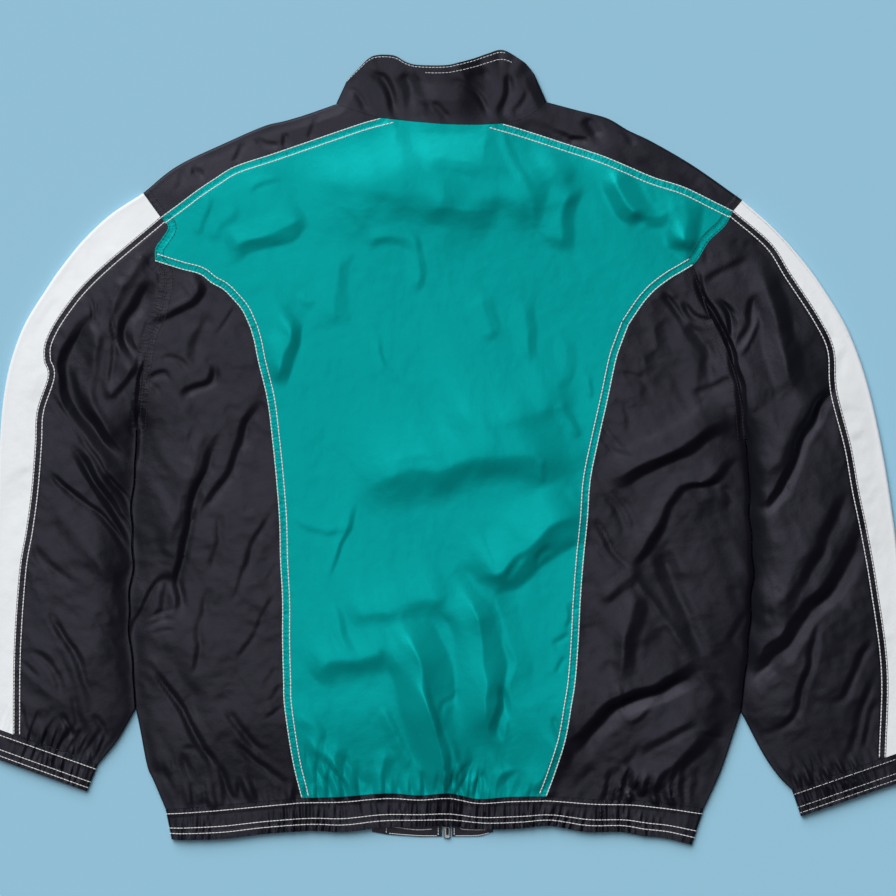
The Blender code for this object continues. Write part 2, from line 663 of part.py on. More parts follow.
def zip_fastener():
    """Tapes, closed chain, bottom box, slider and pull tab."""
    downs = [SLIDER["top"] + 2.6, 83.5, 100, 116.5, 133, 300, 480, 660, 826.6]
    for side, sign in (("L", -1), ("R", 1)):
        reach = (CHAIN_HALF + GAP, CHAIN_HALF + GAP + TAPE_WIDE)
        across = sorted(ZIP_ACROSS + sign * r for r in reach)
        strip("zip_tape_" + side, across, downs, WALL + GAP, WALL + GAP + TAPE_WALL, "tape")
    across = (ZIP_ACROSS - CHAIN_HALF, ZIP_ACROSS + CHAIN_HALF)
    strip("zip_chain", across, downs, GAP, GAP + CHAIN_HIGH, "tape")
    block("zip_box", (442.3, 451.7), (827, 838.5), (0.1, 3.1), "metal")

    # slider: two plates joined by a nose, and an arch below the outer plate
    low, high = LIFT, LIFT + GAP + CHAIN_HIGH + GAP
    top, half, plate_high = SLIDER["top"], SLIDER["half"], SLIDER["plate"]
    wide = (ZIP_ACROSS - half, ZIP_ACROSS + half)
    long = (top, top + SLIDER["long"])
    pivot = (ZIP_ACROSS, top + 6.5)
    slider = block("zip_slider", wide, long, (low - plate_high, low), "metal")
    extra = [
        block("inner_plate", wide, long, (high, high + plate_high), "metal"),
        block("nose", (ZIP_ACROSS - 1.9, ZIP_ACROSS + 1.9), (top, top + 2.2),
              (low - 0.5, high + 0.5), "metal"),
        block("arch", (ZIP_ACROSS - 1.2, ZIP_ACROSS + 1.2), (pivot[1] - 3, pivot[1] + 3),
              (low - plate_high - 3.0, low - 0.5), "metal")]
    hole = block("arch_hole", (ZIP_ACROSS - 3, ZIP_ACROSS + 3), (pivot[1] - 2, pivot[1] + 2),
                 (low - plate_high - 2.0, low - plate_high), "metal")
    for tool, way in [(t, "UNION") for t in extra] + [(hole, "DIFFERENCE")]:
        cut(slider, tool, way)

    # pull tab: a plate with a slot round the arch, its end bar in the arch
    middle = low - plate_high - 1.0
    half, thick = TAB["half"], TAB["thick"]
    tab = block("zip_pull", (ZIP_ACROSS - half, ZIP_ACROSS + half),
                (pivot[1] - thick / 2, pivot[1] + TAB["long"]),
                (middle - thick / 2, middle + thick / 2), "metal")
    slot = block("pull_slot", (ZIP_ACROSS - 1.7, ZIP_ACROSS + 1.7),
                 (pivot[1] + thick / 2, pivot[1] + TAB["slot"]), (middle - 2, middle + 2), "metal")
    cut(tab, slot, "DIFFERENCE")
    place = np.append(at(pivot), middle) * MM
    for piece in (tab, slot):
        piece.data.transform(Matrix.Translation([-c for c in place]))
        piece.location = place
        piece.rotation_euler = (math.radians(TAB["tilt"]), 0, 0)


def cut(obj, tool, way):
    """Union or difference with a hidden tool."""
    tool.hide_render = True
    tool.display_type = "WIRE"
    GARMENT.objects.unlink(tool)
    CUTTERS.objects.link(tool)
    change = obj.modifiers.new(tool.name, "BOOLEAN")
    change.object = tool
    change.operation = way
    change.solver = "EXACT"


def main():
    """Build every piece."""
    for side in "LR":
        side_pieces(side)
        cuff(side)
    centre_back()
    collar()
    hem_band()
    for side in "LR":
        fronts(side)
    zip_fastener()


for thing in list(bpy.data.objects):
    bpy.data.objects.remove(thing)
for group in (GARMENT, CUTTERS):
    bpy.context.scene.collection.children.link(group)
main()
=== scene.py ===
"""Windbreaker laid flat with its back up: the cloth, the sewing and the metal.

The upper layer is one height over the floor, worked out once on a 1 mm grid
(RELIEF): the rise inside the folded edges, listed creases, gathers at
the hem, cuffs and collar, and a little crumpling.  Every panel is a grid of
points between its own seams that takes its height from there, so neighbours
meet.  The lower layer lies on the floor with shallow hollows of its own.

Lengths are in millimetres until a mesh is made.  Tables of points are across
and down a square of 896 mm, and at() brings them to the frame.
"""
import math

import bpy
import numpy as np
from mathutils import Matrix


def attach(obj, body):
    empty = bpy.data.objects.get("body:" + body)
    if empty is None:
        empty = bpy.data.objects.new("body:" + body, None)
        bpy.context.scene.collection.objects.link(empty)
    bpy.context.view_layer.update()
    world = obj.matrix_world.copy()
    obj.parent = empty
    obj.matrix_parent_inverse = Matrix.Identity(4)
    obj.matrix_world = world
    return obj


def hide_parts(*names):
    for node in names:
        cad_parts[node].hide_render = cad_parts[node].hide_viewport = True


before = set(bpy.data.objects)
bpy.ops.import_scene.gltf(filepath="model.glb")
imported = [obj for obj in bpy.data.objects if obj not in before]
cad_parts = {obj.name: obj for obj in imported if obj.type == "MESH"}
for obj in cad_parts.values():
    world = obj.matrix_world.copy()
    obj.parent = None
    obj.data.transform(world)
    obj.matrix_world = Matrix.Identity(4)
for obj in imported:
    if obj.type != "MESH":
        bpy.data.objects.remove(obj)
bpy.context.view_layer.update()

MM = 0.001
SQUARE = 896.0          # side of the square that the tables count in
CENTRE_DOWN = 447.5     # middle of the garment, down the square

# the cloth
WALL = 0.9              # thickness of its shell
GAP = 0.3               # between neighbours at a seam
BEND = 2.5              # half width of a folded edge
SIDE_BEND = 1.3         # the same where sleeve and body are pressed together
CREASE_GAP = 0.1        # between sleeve and body there
CREASE_WANDERS = 2.4    # that line strays by up to this
SHARED_OVER = 24.0      # a folded edge turns to its neighbour's way over this length
FRONT_WRAP = 30.0       # yokes, stripes and collar come this far round to the front
SIDE_WRAP = 6.0         # side backs and sleeve backs come this far round

# the upper layer's height
EDGE_HIGH = 5.0         # just inside a folded edge
PUFF = 9.0              # how much higher it lies away from its edges
REACH = 45.0            # distance over which it rises
EDGE_FREE = 6.0         # distance from the edges over which folds begin
FLAT = 6.6              # at the collar, hem and cuffs
LEAST = 4.9             # it is never lower: the zip is under it
SOFTENED = 0.5          # roundness of that limit
FLAT_TO_FREE = 22.0     # past an open end's seam, folds gain their whole height over this

# the lower layer
FRONT_WALL = 1.5        # its top
UNDER = 0.15            # clearance of its lowest points over the floor
HOLLOW_MOST = 2.2       # its deepest hollow
TAB_FROM = {"L": 372.0, "R": 493.0}     # where the hem band stops, across

# the zip
ZIP_ACROSS, ZIP_OPEN = 447.0, 5.0
ZIP_X = ZIP_ACROSS - SQUARE / 2
CHAIN_HALF, CHAIN_TOP, CHAIN_FOOT = 2.5, 70.6, 826.6
TAPE_WIDE, TAPE_LOW, TAPE_HIGH = 11.0, 1.8, 2.8
TAPE_STOPS = (0.1, 1.2, 2.4, 3.6, 5.5, 8.0, 10.5, 12.5)     # points across, from the zip's middle
CLIMB_LOW, CLIMB_HIGH = 1.2, 0.6    # the tapes' edges rise by this to meet behind the teeth
LIFT = 4.7              # the zip's end is held up by its slider and pull tab
LIFT_FROM, LIFT_OVER = 133.0, 33.0  # that rise begins this far down and takes this length
LIFT_HALF = (8.0, 40.0)             # whole to the first distance beside the zip, gone at the second
# the collar's front: down to its neck seam and its top, at the zip and this far beside it
NECK_AT_ZIP, TOP_AT_ZIP = 133.0, 67.0
NECK_BESIDE, TOP_BESIDE, BESIDE = 129.0, 64.0, 45.0


def at(points):
    """Millimetres across and down the square to x, y in the frame."""
    p = np.asarray(points, float)
    return np.stack([p[..., 0] - SQUARE / 2, CENTRE_DOWN - p[..., 1]], -1)


def lengths(line):
    """Length along the line to each of its points."""
    return np.concatenate([[0], np.cumsum(np.linalg.norm(np.diff(line, axis=0), axis=1))])


def even(line, parts, cut=0.0):
    """The line's points at equal lengths along it, with cut taken off both ends."""
    along = lengths(line)
    stops = np.linspace(cut, along[-1] - cut, parts + 1)
    return np.stack([np.interp(stops, along, line[:, k]) for k in range(line.shape[1])], -1)


def smooth(points, parts):
    """Catmull-Rom curve through the points, cut in equal lengths."""
    p = at(points)
    p = np.vstack([2 * p[0] - p[1], p, 2 * p[-1] - p[-2]])
    t = np.linspace(0, 1, 24, endpoint=False)[None, :, None]
    a, b, c, d = (p[k:len(p) - 3 + k, None] for k in range(4))
    fine = 0.5 * (2 * b + (c - a) * t + (2 * a - 5 * b + 4 * c - d) * t ** 2
                  + (3 * b - a - 3 * c + d) * t ** 3)
    return even(np.vstack([fine.reshape(-1, 2), p[-2:-1]]), parts)


def step(x, low, high):
    """0 below low, 1 above high, t * t * (3 - 2 t) between."""
    t = np.clip((x - low) / (high - low), 0, 1)
    return t * t * (3 - 2 * t)


def normal(line):
    """Unit normal to the left of each point's way along the line."""
    way = np.gradient(line, axis=0)
    way /= np.linalg.norm(way, axis=1)[:, None]
    return np.stack([-way[:, 1], way[:, 0]], -1)


def wandering(line, by):
    """The line moved off itself by up to by, as sin(pi t) * (0.6 sin(17 t) + 0.4 sin(41 t))
    of the share t of its length, so that both its ends stay."""
    t = np.linspace(0, 1, len(line))[:, None]
    return line + normal(line) * by * np.sin(math.pi * t) * (0.6 * np.sin(17 * t) + 0.4 * np.sin(41 * t))


# ------------------------------------------------------------- the seams
# name: (number of cells, through these points)
SEAMS = {
    "yoke_L": (104, [(380, 118), (365, 122), (341, 130), (306, 142), (271, 154), (235, 166), (215, 178),
            (197, 190), (181, 202), (160.5, 217)]),
    "yoke_R": (104, [(503, 123.6), (525, 130), (562, 142), (600, 154.5), (628, 166), (654, 177),
            (685, 187), (716, 202), (733.4, 210.6)]),
    "neck_L": (20, [(336, 104), (356, 111), (380, 118)]),
    "neck": (56, [(380, 118), (418, 122), (447, 124.3), (477, 124.8), (503, 123.6)]),
    "neck_R": (20, [(503, 123.6), (526, 117.5), (547, 102)]),
    "yoke_end_L": (20, [(160.5, 217), (143, 193)]),
    "yoke_end_R": (20, [(733.4, 210.6), (742.5, 200)]),
    "wing_end_L": (30, [(160.5, 217), (168, 227), (162, 238), (155.5, 248), (155, 261.6)]),
    "wing_end_R": (30, [(733.4, 210.6), (725, 226), (709.4, 241), (700, 256), (693, 265.7)]),
    "wing_L": (50, [(155, 261.6), (181, 269.8), (200, 275), (212, 284), (223, 290), (234, 301),
            (242.4, 311.6), (250, 328)]),
    "wing_R": (50, [(693, 265.7), (680.8, 273), (670.6, 279), (656, 290), (646, 300.5), (640, 308.6),
            (629, 325)]),
    "side_L": (206, [(250, 328), (254, 342), (258, 362), (267, 400), (272, 440), (276, 480), (279, 520),
            (280, 560), (282, 600), (282, 640), (283, 680), (284, 706), (292, 760), (301, 798)]),
    "side_R": (206, [(629, 325), (621, 346), (616, 362), (608, 400), (599, 440), (591, 480), (588, 520),
            (584, 560), (581, 600), (579, 640), (576, 680), (572, 706), (566, 740), (555, 775),
            (547, 796.5)]),
    "arm_L": (80, [(155, 261.6), (165, 275), (160, 309), (148.6, 337), (142, 380), (137, 430)]),
    "arm_R": (80, [(693, 265.7), (702, 290), (713.5, 323), (733.7, 366), (742, 400), (746, 440)]),
    "stripe_L": (250, [(160.5, 217), (94, 274), (63, 310), (46, 340), (44, 360), (48, 376), (37, 411),
            (35, 446), (31.4, 491), (26, 531), (19.4, 571), (14, 650), (13, 734.5)]),
    "stripe_R": (250, [(733.4, 210.6), (771, 243), (791, 274), (819, 317), (834, 349), (837, 391),
            (851, 446), (859, 491), (868, 534), (877, 585), (888, 670), (886, 757.5)]),
    "hem_L": (60, [(165.5, 809.5), (196, 807.5), (253, 802.5), (301, 798)]),
    "hem": (122, [(301, 798), (340, 797), (386, 793.5), (420, 795.5), (449, 793.5), (478, 799),
            (510, 797), (547, 796.5)]),
    "hem_R": (60, [(547, 796.5), (597, 799.5), (643, 801), (704, 808.5)]),
    "cuff_L": (60, [(13, 734.5), (54, 748), (98, 764.5)]),
    "cuff_R": (60, [(886, 757.5), (840, 773), (792, 790)]),
}
# the folded edges, outermost line of the garment
EDGES = {
    "shoulder_L": (104, [(336, 104), (306, 114.5), (284, 121), (264, 126), (227, 142), (177, 166),
            (143, 193)]),
    "shoulder_R": (104, [(547, 102), (577, 110), (607, 118), (628, 130), (653, 142), (694, 166),
            (742.5, 200)]),
    "sleeve_L": (250, [(143, 193), (111, 214), (85, 238), (65, 262), (48, 286), (20, 334), (3, 400),
            (-4, 520), (-8, 640), (-6, 727.7)]),
    "sleeve_R": (250, [(742.5, 200), (772, 226), (798, 254), (822, 286), (850, 334), (872, 400),
            (891, 500), (903.3, 620), (903, 751.5)]),
    "crease_L": (146, [(137, 430), (133, 505), (132, 554), (130, 637), (133, 671), (135.7, 709)]),
    "crease_R": (146, [(746, 440), (751, 519), (752, 610), (747, 654), (741, 712)]),
    "body_L": (56, [(135.7, 709), (140, 730), (147, 766), (153.5, 781), (165.5, 809.5)]),
    "body_R": (56, [(741, 712), (733, 736), (723, 766), (715, 785), (704, 808.5)]),
    "under_L": (36, [(135.7, 709), (124, 730), (115, 744), (98, 764.5)]),
    "under_R": (36, [(741, 712), (763, 754), (779, 777), (792, 790)]),
    "cuff_out_L": (10, [(-6, 727.7), (-8, 757)]),
    "cuff_in_L": (10, [(98, 764.5), (87, 791.5)]),
    "cuff_out_R": (10, [(903, 751.5), (904, 781)]),
    "cuff_in_R": (10, [(792, 790), (801, 816.5)]),
    "collar_L": (10, [(336, 104), (342, 93), (346.5, 81)]),
    "collar_R": (10, [(547, 102), (541, 88), (535, 75)]),
    "hem_end_L": (10, [(165.5, 809.5), (171.5, 839.5)]),
    "hem_end_R": (10, [(704, 808.5), (692, 845)]),
}
COLLAR_TOP = [(346.5, 81), (359, 68), (368, 59), (377, 55), (394, 55.5), (406, 62), (418, 65),
              (444, 65.5), (459, 62.7), (474, 58.5), (488, 53.5), (503, 50), (521, 60), (528, 66),
              (535, 75)]
HEM_FOOT = [(171.5, 839.5), (188, 840), (225, 838.8), (265, 834), (311, 831), (345, 832), (386, 827.5),
            (449, 826.5), (489, 829.5), (520, 828.5), (550, 826), (586, 832), (620, 832), (643, 836),
            (666, 838.5), (692, 845)]
TAB_FOOT = [(372, 832), (386.4, 834.5), (420, 836.8), (480, 836.2), (493, 832)]
# where each sleeve front is sewn to its front, from the yoke's corner down
ARM_FRONT = {"L": [(180, 290), (172, 350), (152, 400), (137, 429.5)],
             "R": [(712, 290), (716, 350), (733, 405), (746, 439.5)]}
LINE = {name: smooth(points, parts) for name, (parts, points) in {**SEAMS, **EDGES}.items()}
for crease_side in "LR":
    LINE["crease_" + crease_side] = wandering(LINE["crease_" + crease_side], CREASE_WANDERS)


def run(*names):
    """Lines end to end; a name with a minus is taken backwards."""
    lines = [LINE[n[1:]][::-1] if n[0] == "-" else LINE[n] for n in names]
    return np.vstack([lines[0]] + [line[1:] for line in lines[1:]])


# Lines across the open ends: (lines, flat to, free from, seam, share).  The
# cloth lies flat up to the first distance from them and is free from the
# second; creases keep their share up to the seam's distance.
OPEN_ENDS = [
    ([smooth(COLLAR_TOP, 12)], 50, 110, 54, 1.0),
    ([smooth(HEM_FOOT, 24)], 36, 125, 34, 0.45),
    ([at([(-8, 757), (87, 791.5)]), at([(904, 781), (801, 816.5)])], 28, 100, 30, 0.3),
]
# Gathers that run up from a sewn line, and those that elastic pinches in a
# band: (line, reach, height, sizes)
GATHERS = [(run("hem_L", "hem", "hem_R"), 26, 9.5, (13, 21, 34))]
GATHERS += [(LINE["cuff_" + side], 20, 4.5, (9, 13, 21)) for side in "LR"]
PINCHED = [(smooth(HEM_FOOT, 60), 32, 4.2, (5.5, 8, 13)), (smooth(COLLAR_TOP, 40), 30, 0.9, (19, 31))]
for cuff_side in "LR":
    middle = [LINE[end + cuff_side].mean(0) for end in ("cuff_out_", "cuff_in_")]
    PINCHED.append((np.array(middle), 22, 2.6, (5.5, 8, 12)))

# ------------------------------------------------------------- the creases
ROUND = 1.0             # radius of a sharp crease's edge
FADES = 0.25            # share of a crease over which each of its ends fades
TOWARD = (-0.46, 0.88)  # folds lean away from here: their slopes that face it
KEPT = 0.12             # keep this share of their steepness, and the height
RECOVERS = 40.0         # that they lose is made up over this distance;
SIDEWAYS = 10.0         # the larger this is, the less it is evened out across
# (kind, high, left, right, points): high on the line, or low with a minus,
# fading over the widths to the left and right of the way along the points.
# A sharp crease comes to an edge on its line, a soft one is round.
CREASES = [
    # centre back, upper half
    ("soft", 7.5, 70, 34, [(292, 190), (340, 190), (390, 192), (440, 195), (490, 195), (540, 192),
        (592, 188)]),
    ("sharp", 2, 16, 12, [(424, 214), (460, 210), (506, 214)]),
    ("sharp", 4, 12, 9, [(227, 259), (243, 244), (263, 236), (287, 224), (305, 206)]),
    ("sharp", 3.4, 14, 9, [(414, 139), (440, 155), (470, 163), (500, 170), (520, 177)]),
    ("sharp", 1.2, 6, 3, [(532, 195), (524, 176), (513, 158), (503, 126)]),
    ("sharp", 3.8, 14, 7, [(559, 252), (563, 222), (569, 200), (579, 178)]),
    ("sharp", 0.6, 3, 3, [(397, 152), (394, 126)]),
    ("sharp", 1.1, 8, 5, [(536, 155), (556, 166), (578, 177)]),
    ("sharp", 0.8, 5, 4, [(541, 230), (534, 201)]),
    ("sharp", 1.8, 14, 9, [(334, 330), (336, 290), (339, 246)]),
    ("sharp", 1.1, 7, 5, [(417, 292), (421, 262), (416, 234)]),
    ("sharp", 5.4, 11, 7, [(272, 386), (280, 360), (292, 339), (303, 314)]),
    ("sharp", 0.8, 5, 4, [(298, 295), (308, 300), (319, 302)]),
    ("sharp", 1, 5, 3, [(403, 390), (390, 376), (379, 360), (376, 330)]),
    ("sharp", 1.4, 10, 7, [(496, 340), (487, 320), (479, 296)]),
    ("sharp", 1.5, 10, 7, [(532, 362), (525, 330), (522, 296)]),
    ("sharp", 1.2, 8, 6, [(556, 392), (568, 366), (566, 336)]),
    ("sharp", 1.5, 6, 3, [(581, 438), (573, 425), (562, 400)]),
    ("sharp", 1.1, 4, 3, [(593, 400), (588, 374)]),
    ("soft", 5.6, 30, 20, [(430, 410), (475, 421), (530, 417), (582, 402)]),
    ("sharp", 7.5, 10, 13, [(643, 226), (632, 211), (622, 196), (611, 168)]),
    ("sharp", 0.8, 4, 3, [(654, 204), (643, 186)]),
    ("sharp", 2.9, 10, 8, [(638, 223), (664, 214), (684, 203)]),
    ("sharp", 8, 12, 10, [(686, 254), (688, 222), (687, 192)]),
    ("sharp", 4.4, 12, 11, [(666, 235), (681, 242), (698, 252)]),
    ("sharp", 1.5, 8, 5, [(196, 238), (206, 214), (212, 190)]),
    ("sharp", 1.6, 9, 6, [(212, 248), (226, 226), (242, 204)]),
    ("sharp", 1.1, 6, 4, [(250, 196), (262, 182), (280, 172)]),
    ("sharp", 1.2, 9, 6, [(360, 246), (392, 238), (430, 246)]),
    # centre back, lower half
    ("soft", 7.5, 30, 21, [(340, 490), (375, 482), (400, 473), (430, 467), (460, 462), (490, 459),
        (540, 461), (590, 458)]),
    ("soft", 0.8, 4, 4, [(392, 462), (420, 457), (448, 452)]),
    ("sharp", 1.4, 5, 3, [(323, 583), (335, 553), (344, 528), (353, 498)]),
    ("sharp", 1.2, 6, 4, [(291, 512), (304, 526), (322, 530), (352, 531)]),
    ("sharp", 0.8, 4, 3, [(541, 486), (542, 462)]),
    ("sharp", 11.2, 26, 14, [(474, 578), (490, 571), (503, 572), (515, 559), (526, 549), (545, 534),
        (560, 526), (584, 514)]),
    ("sharp", -1.5, 3, 3, [(508, 580), (514, 568), (524, 552)]),
    ("sharp", -1.5, 3, 3, [(532, 564), (541, 552), (553, 546)]),
    ("sharp", 1.4, 5, 5, [(564, 492), (572, 503), (582, 513)]),
    ("sharp", 10, 22, 14, [(492, 750), (488, 720), (488, 690), (485, 660), (483, 626), (479, 607),
        (470, 594), (458, 578)]),
    ("sharp", 1.8, 12, 5, [(480, 568), (493, 589), (502, 602), (506, 622), (511, 645), (517, 664),
        (514, 682), (520, 706)]),
    ("sharp", -4.6, 5, 5, [(505, 686), (509, 704), (501, 720), (493, 742)]),
    ("sharp", 10, 18, 19, [(441, 800), (441, 762), (436, 736), (430, 711), (425, 690), (418, 665),
        (408, 640), (399, 614)]),
    ("sharp", 8, 16, 4.5, [(446, 822), (445, 795), (443, 770), (438, 742), (430, 712), (421, 680)]),
    ("sharp", -1.4, 3, 3, [(460, 690), (455, 702), (445, 708), (441, 722)]),
    ("sharp", 2.9, 7, 4, [(464, 784), (453, 756), (443, 730)]),
    ("sharp", -1.2, 3, 3, [(441, 768), (449, 776), (458, 788)]),
    ("soft", 4.2, 20, 16, [(338, 608), (380, 611), (420, 597), (460, 586)]),
    ("sharp", 1.1, 10, 7, [(456, 556), (490, 560), (520, 553)]),
    ("sharp", 1.4, 7, 5, [(358, 656), (344, 627), (332, 600)]),
    ("soft", 4.4, 16, 14, [(314, 677), (335, 662), (360, 657), (378, 648), (393, 630)]),
    ("sharp", 1.4, 6, 4, [(321, 748), (309, 729), (296, 714)]),
    ("sharp", 3.2, 8, 5, [(299, 740), (316, 757), (331, 767), (344, 779), (355, 793)]),
    ("sharp", -1.1, 3, 3, [(307, 792), (315, 785), (327, 788)]),
    ("sharp", 1.6, 7, 4, [(400, 743), (394, 729), (385, 708)]),
    ("sharp", 3.6, 7, 5, [(371, 801), (378, 778), (385, 763), (397, 751)]),
    ("sharp", 1.6, 6, 4, [(411, 772), (404, 755), (398, 735)]),
    ("sharp", 3.6, 8, 5, [(492, 803), (499, 780), (510, 766)]),
    ("sharp", 7.2, 14, 11, [(520, 800), (540, 774), (553, 754), (560, 732)]),
    ("sharp", -1.4, 3, 3, [(570, 596), (573, 612), (568, 626)]),
    ("sharp", -1.4, 3, 3, [(550, 642), (572, 630)]),
    ("sharp", -1.2, 3, 3, [(555, 674), (567, 659)]),
    ("sharp", -1.2, 3, 3, [(553, 714), (561, 740)]),
    ("sharp", -1.1, 3, 3, [(352, 782), (364, 798)]),
    ("sharp", -1.2, 4, 4, [(470, 800), (474, 786), (480, 776)]),
    ("sharp", -1.2, 4, 4, [(420, 802), (423, 788), (419, 772)]),
    ("sharp", -1.1, 4, 4, [(337, 800), (341, 790), (338, 778)]),
    ("sharp", 3, 7, 7, [(318, 800), (322, 780), (332, 762), (346, 748)]),
    ("sharp", -2.6, 4, 4, [(356, 806), (368, 785), (374, 770)]),
    ("sharp", 2.6, 6, 7, [(402, 806), (410, 782), (424, 762)]),
    ("sharp", -2.4, 3, 3, [(478, 806), (484, 788), (482, 768)]),
    ("sharp", 2.8, 6, 8, [(452, 806), (462, 786), (476, 772)]),
    ("sharp", -2.6, 4, 4, [(508, 806), (516, 790), (520, 770)]),
    # yokes
    ("sharp", -2, 3, 3, [(254, 133), (266, 139), (278, 142)]),
    ("sharp", -1.6, 3, 3, [(281, 144), (286, 128)]),
    ("sharp", -1.8, 3, 3, [(238, 160), (244, 149), (247, 138)]),
    ("sharp", -2.4, 5, 4, [(191, 171), (207, 177)]),
    ("sharp", -1.8, 4, 4, [(174, 194), (178, 180), (181, 166)]),
    ("sharp", -1.4, 3, 3, [(308, 138), (314, 126), (318, 114)]),
    ("sharp", -4, 5, 4, [(584, 113), (592, 125), (599, 138)]),
    ("sharp", -2.8, 6, 6, [(518, 127), (550, 130), (580, 142)]),
    ("sharp", -2.4, 4, 4, [(568, 137), (590, 142)]),
    ("sharp", -2.2, 4, 4, [(622, 124), (628, 134), (632, 146)]),
    ("sharp", -2.4, 7, 7, [(634, 162), (665, 174), (708, 182)]),
    ("sharp", -1.8, 4, 4, [(688, 186), (706, 178), (722, 190)]),
    ("soft", 1.2, 9, 9, [(600, 128), (640, 146), (690, 172)]),
    # collar
    ("sharp", -3.2, 4, 4, [(370, 64), (386, 80), (394, 98), (393, 116)]),
    ("sharp", -3, 8, 7, [(400, 68), (412, 84), (419, 106)]),
    ("sharp", -2, 8, 8, [(420, 82), (440, 84), (462, 78)]),
    ("sharp", -2.2, 3, 3, [(434, 102), (441, 112), (449, 122)]),
    ("sharp", -1.6, 3, 3, [(424, 118), (430, 102)]),
    ("sharp", -3, 4, 3, [(447, 78), (467, 88), (477, 100), (487, 117)]),
    ("sharp", -3.8, 5, 4, [(508, 72), (506, 95), (498, 120)]),
    ("sharp", -2.2, 3, 3, [(530, 90), (523, 103), (514, 116)]),
    ("sharp", -1.6, 5, 4, [(462, 79), (476, 76), (490, 70)]),
    ("sharp", -1.6, 4, 4, [(352, 84), (360, 98), (364, 110)]),
    # left armhole, where sleeve and body come together
    ("sharp", -3.4, 3, 3, [(147, 350), (142, 385), (138, 415), (136, 445), (133, 480)]),
    # left sleeve
    ("sharp", -6.1, 6.5, 6.5, [(94, 304), (80, 335), (67, 360), (66, 380), (74, 405), (92, 430),
        (114, 454), (134, 472)]),
    ("soft", 2.6, 6, 6, [(106, 314), (93, 350), (89, 385), (94, 412), (116, 446)]),
    ("sharp", -1.4, 2.5, 3, [(43, 382), (58, 404), (75, 426), (92, 453), (114, 484), (134, 512)]),
    ("sharp", -2.2, 2.8, 2.8, [(111, 308), (116, 330), (113, 355), (107, 388)]),
    ("sharp", -6.1, 6.5, 6.5, [(158, 274), (143, 300), (130, 325), (127, 345), (135, 362)]),
    ("soft", 2.4, 7, 5, [(157, 244), (136, 267), (119, 292), (106, 322)]),
    ("sharp", 3.1, 5.8, 5, [(105, 401), (120, 382), (138, 361)]),
    ("sharp", -1, 2.2, 2.2, [(86, 290), (90, 312), (92, 332)]),
    ("sharp", -1, 2.2, 2.2, [(97, 294), (95, 316), (99, 338)]),
    ("sharp", -3.8, 5, 5, [(66, 440), (88, 472), (108, 505), (124, 531), (135, 548)]),
    ("sharp", -2.2, 3.6, 3.6, [(40, 472), (60, 490), (84, 507), (108, 532), (133, 558)]),
    ("sharp", -2.2, 3.6, 3.6, [(104, 470), (120, 492), (134, 514)]),
    ("sharp", -1.1, 4, 4, [(33, 534), (46, 558), (60, 574), (80, 590)]),
    ("sharp", -2.3, 4, 3.6, [(43, 607), (64, 636), (80, 668), (90, 694), (99, 718)]),
    ("sharp", -1.6, 4, 4, [(27, 647), (46, 660), (58, 676), (65, 704)]),
    ("sharp", -1.7, 3.6, 3.6, [(57, 650), (70, 680), (78, 706), (87, 740)]),
    ("sharp", -1.6, 2.5, 2.5, [(62, 711), (70, 724), (77, 740)]),
    ("sharp", -1.1, 3, 3, [(22, 660), (32, 672), (42, 682)]),
    ("sharp", -1.3, 3, 3, [(92, 716), (100, 728), (103, 742)]),
    ("sharp", -1.3, 3, 3, [(40, 742), (26, 728), (22, 704)]),
    ("soft", 1.4, 9, 9, [(52, 500), (80, 545), (118, 590)]),
    # left side back
    ("sharp", 4.3, 10.1, 4.3, [(153, 323), (176, 309), (194, 295), (206, 274)]),
    ("sharp", -1.3, 3, 3, [(164, 308), (176, 300), (190, 294)]),
    ("sharp", -1.4, 3.6, 3.6, [(162, 364), (178, 361), (194, 368)]),
    ("sharp", -3.8, 3.6, 4.3, [(222, 362), (215, 382), (200, 390), (178, 399)]),
    ("sharp", -2.3, 3, 4, [(145, 385), (158, 379), (176, 377)]),
    ("sharp", -1.4, 2.5, 3, [(146, 384), (160, 394)]),
    ("sharp", -1.7, 3, 3, [(133, 400), (137, 412), (139, 426)]),
    ("sharp", -1.4, 3, 3, [(192, 426), (188, 445), (181, 462)]),
    ("sharp", -1.1, 2, 2, [(235, 307), (226, 322), (218, 338)]),
    ("sharp", -1.4, 5.8, 5.8, [(210, 310), (202, 340), (198, 366)]),
    ("sharp", -5, 3.6, 4.3, [(230, 424), (214, 452), (203, 474), (195, 500), (189, 530), (183, 560),
        (180, 585), (182, 608), (175, 633)]),
    ("sharp", -3.6, 4.3, 5, [(264, 396), (250, 425), (240, 448), (228, 475), (212, 500), (200, 522)]),
    ("soft", 2.4, 8, 8, [(208, 420), (188, 470), (172, 520), (166, 566)]),
    ("sharp", -2.7, 5.8, 5.8, [(173, 573), (168, 600), (161, 628)]),
    ("sharp", -1.1, 2, 2, [(148, 622), (164, 613), (180, 607)]),
    ("sharp", -1.1, 2, 2, [(150, 629), (166, 621), (180, 619)]),
    ("sharp", -1.1, 2, 2, [(154, 636), (168, 630), (179, 630)]),
    ("sharp", -3.2, 4, 3.6, [(132, 641), (140, 618), (150, 600), (168, 576)]),
    ("sharp", -1.8, 2.5, 3, [(277, 513), (263, 530), (251, 550), (239, 584), (227, 614)]),
    ("sharp", -1.8, 2.5, 3, [(282, 588), (262, 625), (239, 667)]),
    ("sharp", -1.6, 4, 3.6, [(223, 512), (218, 545), (210, 575)]),
    ("sharp", -1.9, 3.6, 3.6, [(210, 583), (203, 620), (200, 655), (192, 685)]),
    ("sharp", -2.5, 3.5, 3.6, [(150, 659), (163, 680), (172, 698), (184, 722), (197, 748), (218, 777)]),
    ("sharp", -2.2, 3.6, 3.6, [(224, 702), (236, 726), (252, 744), (266, 754)]),
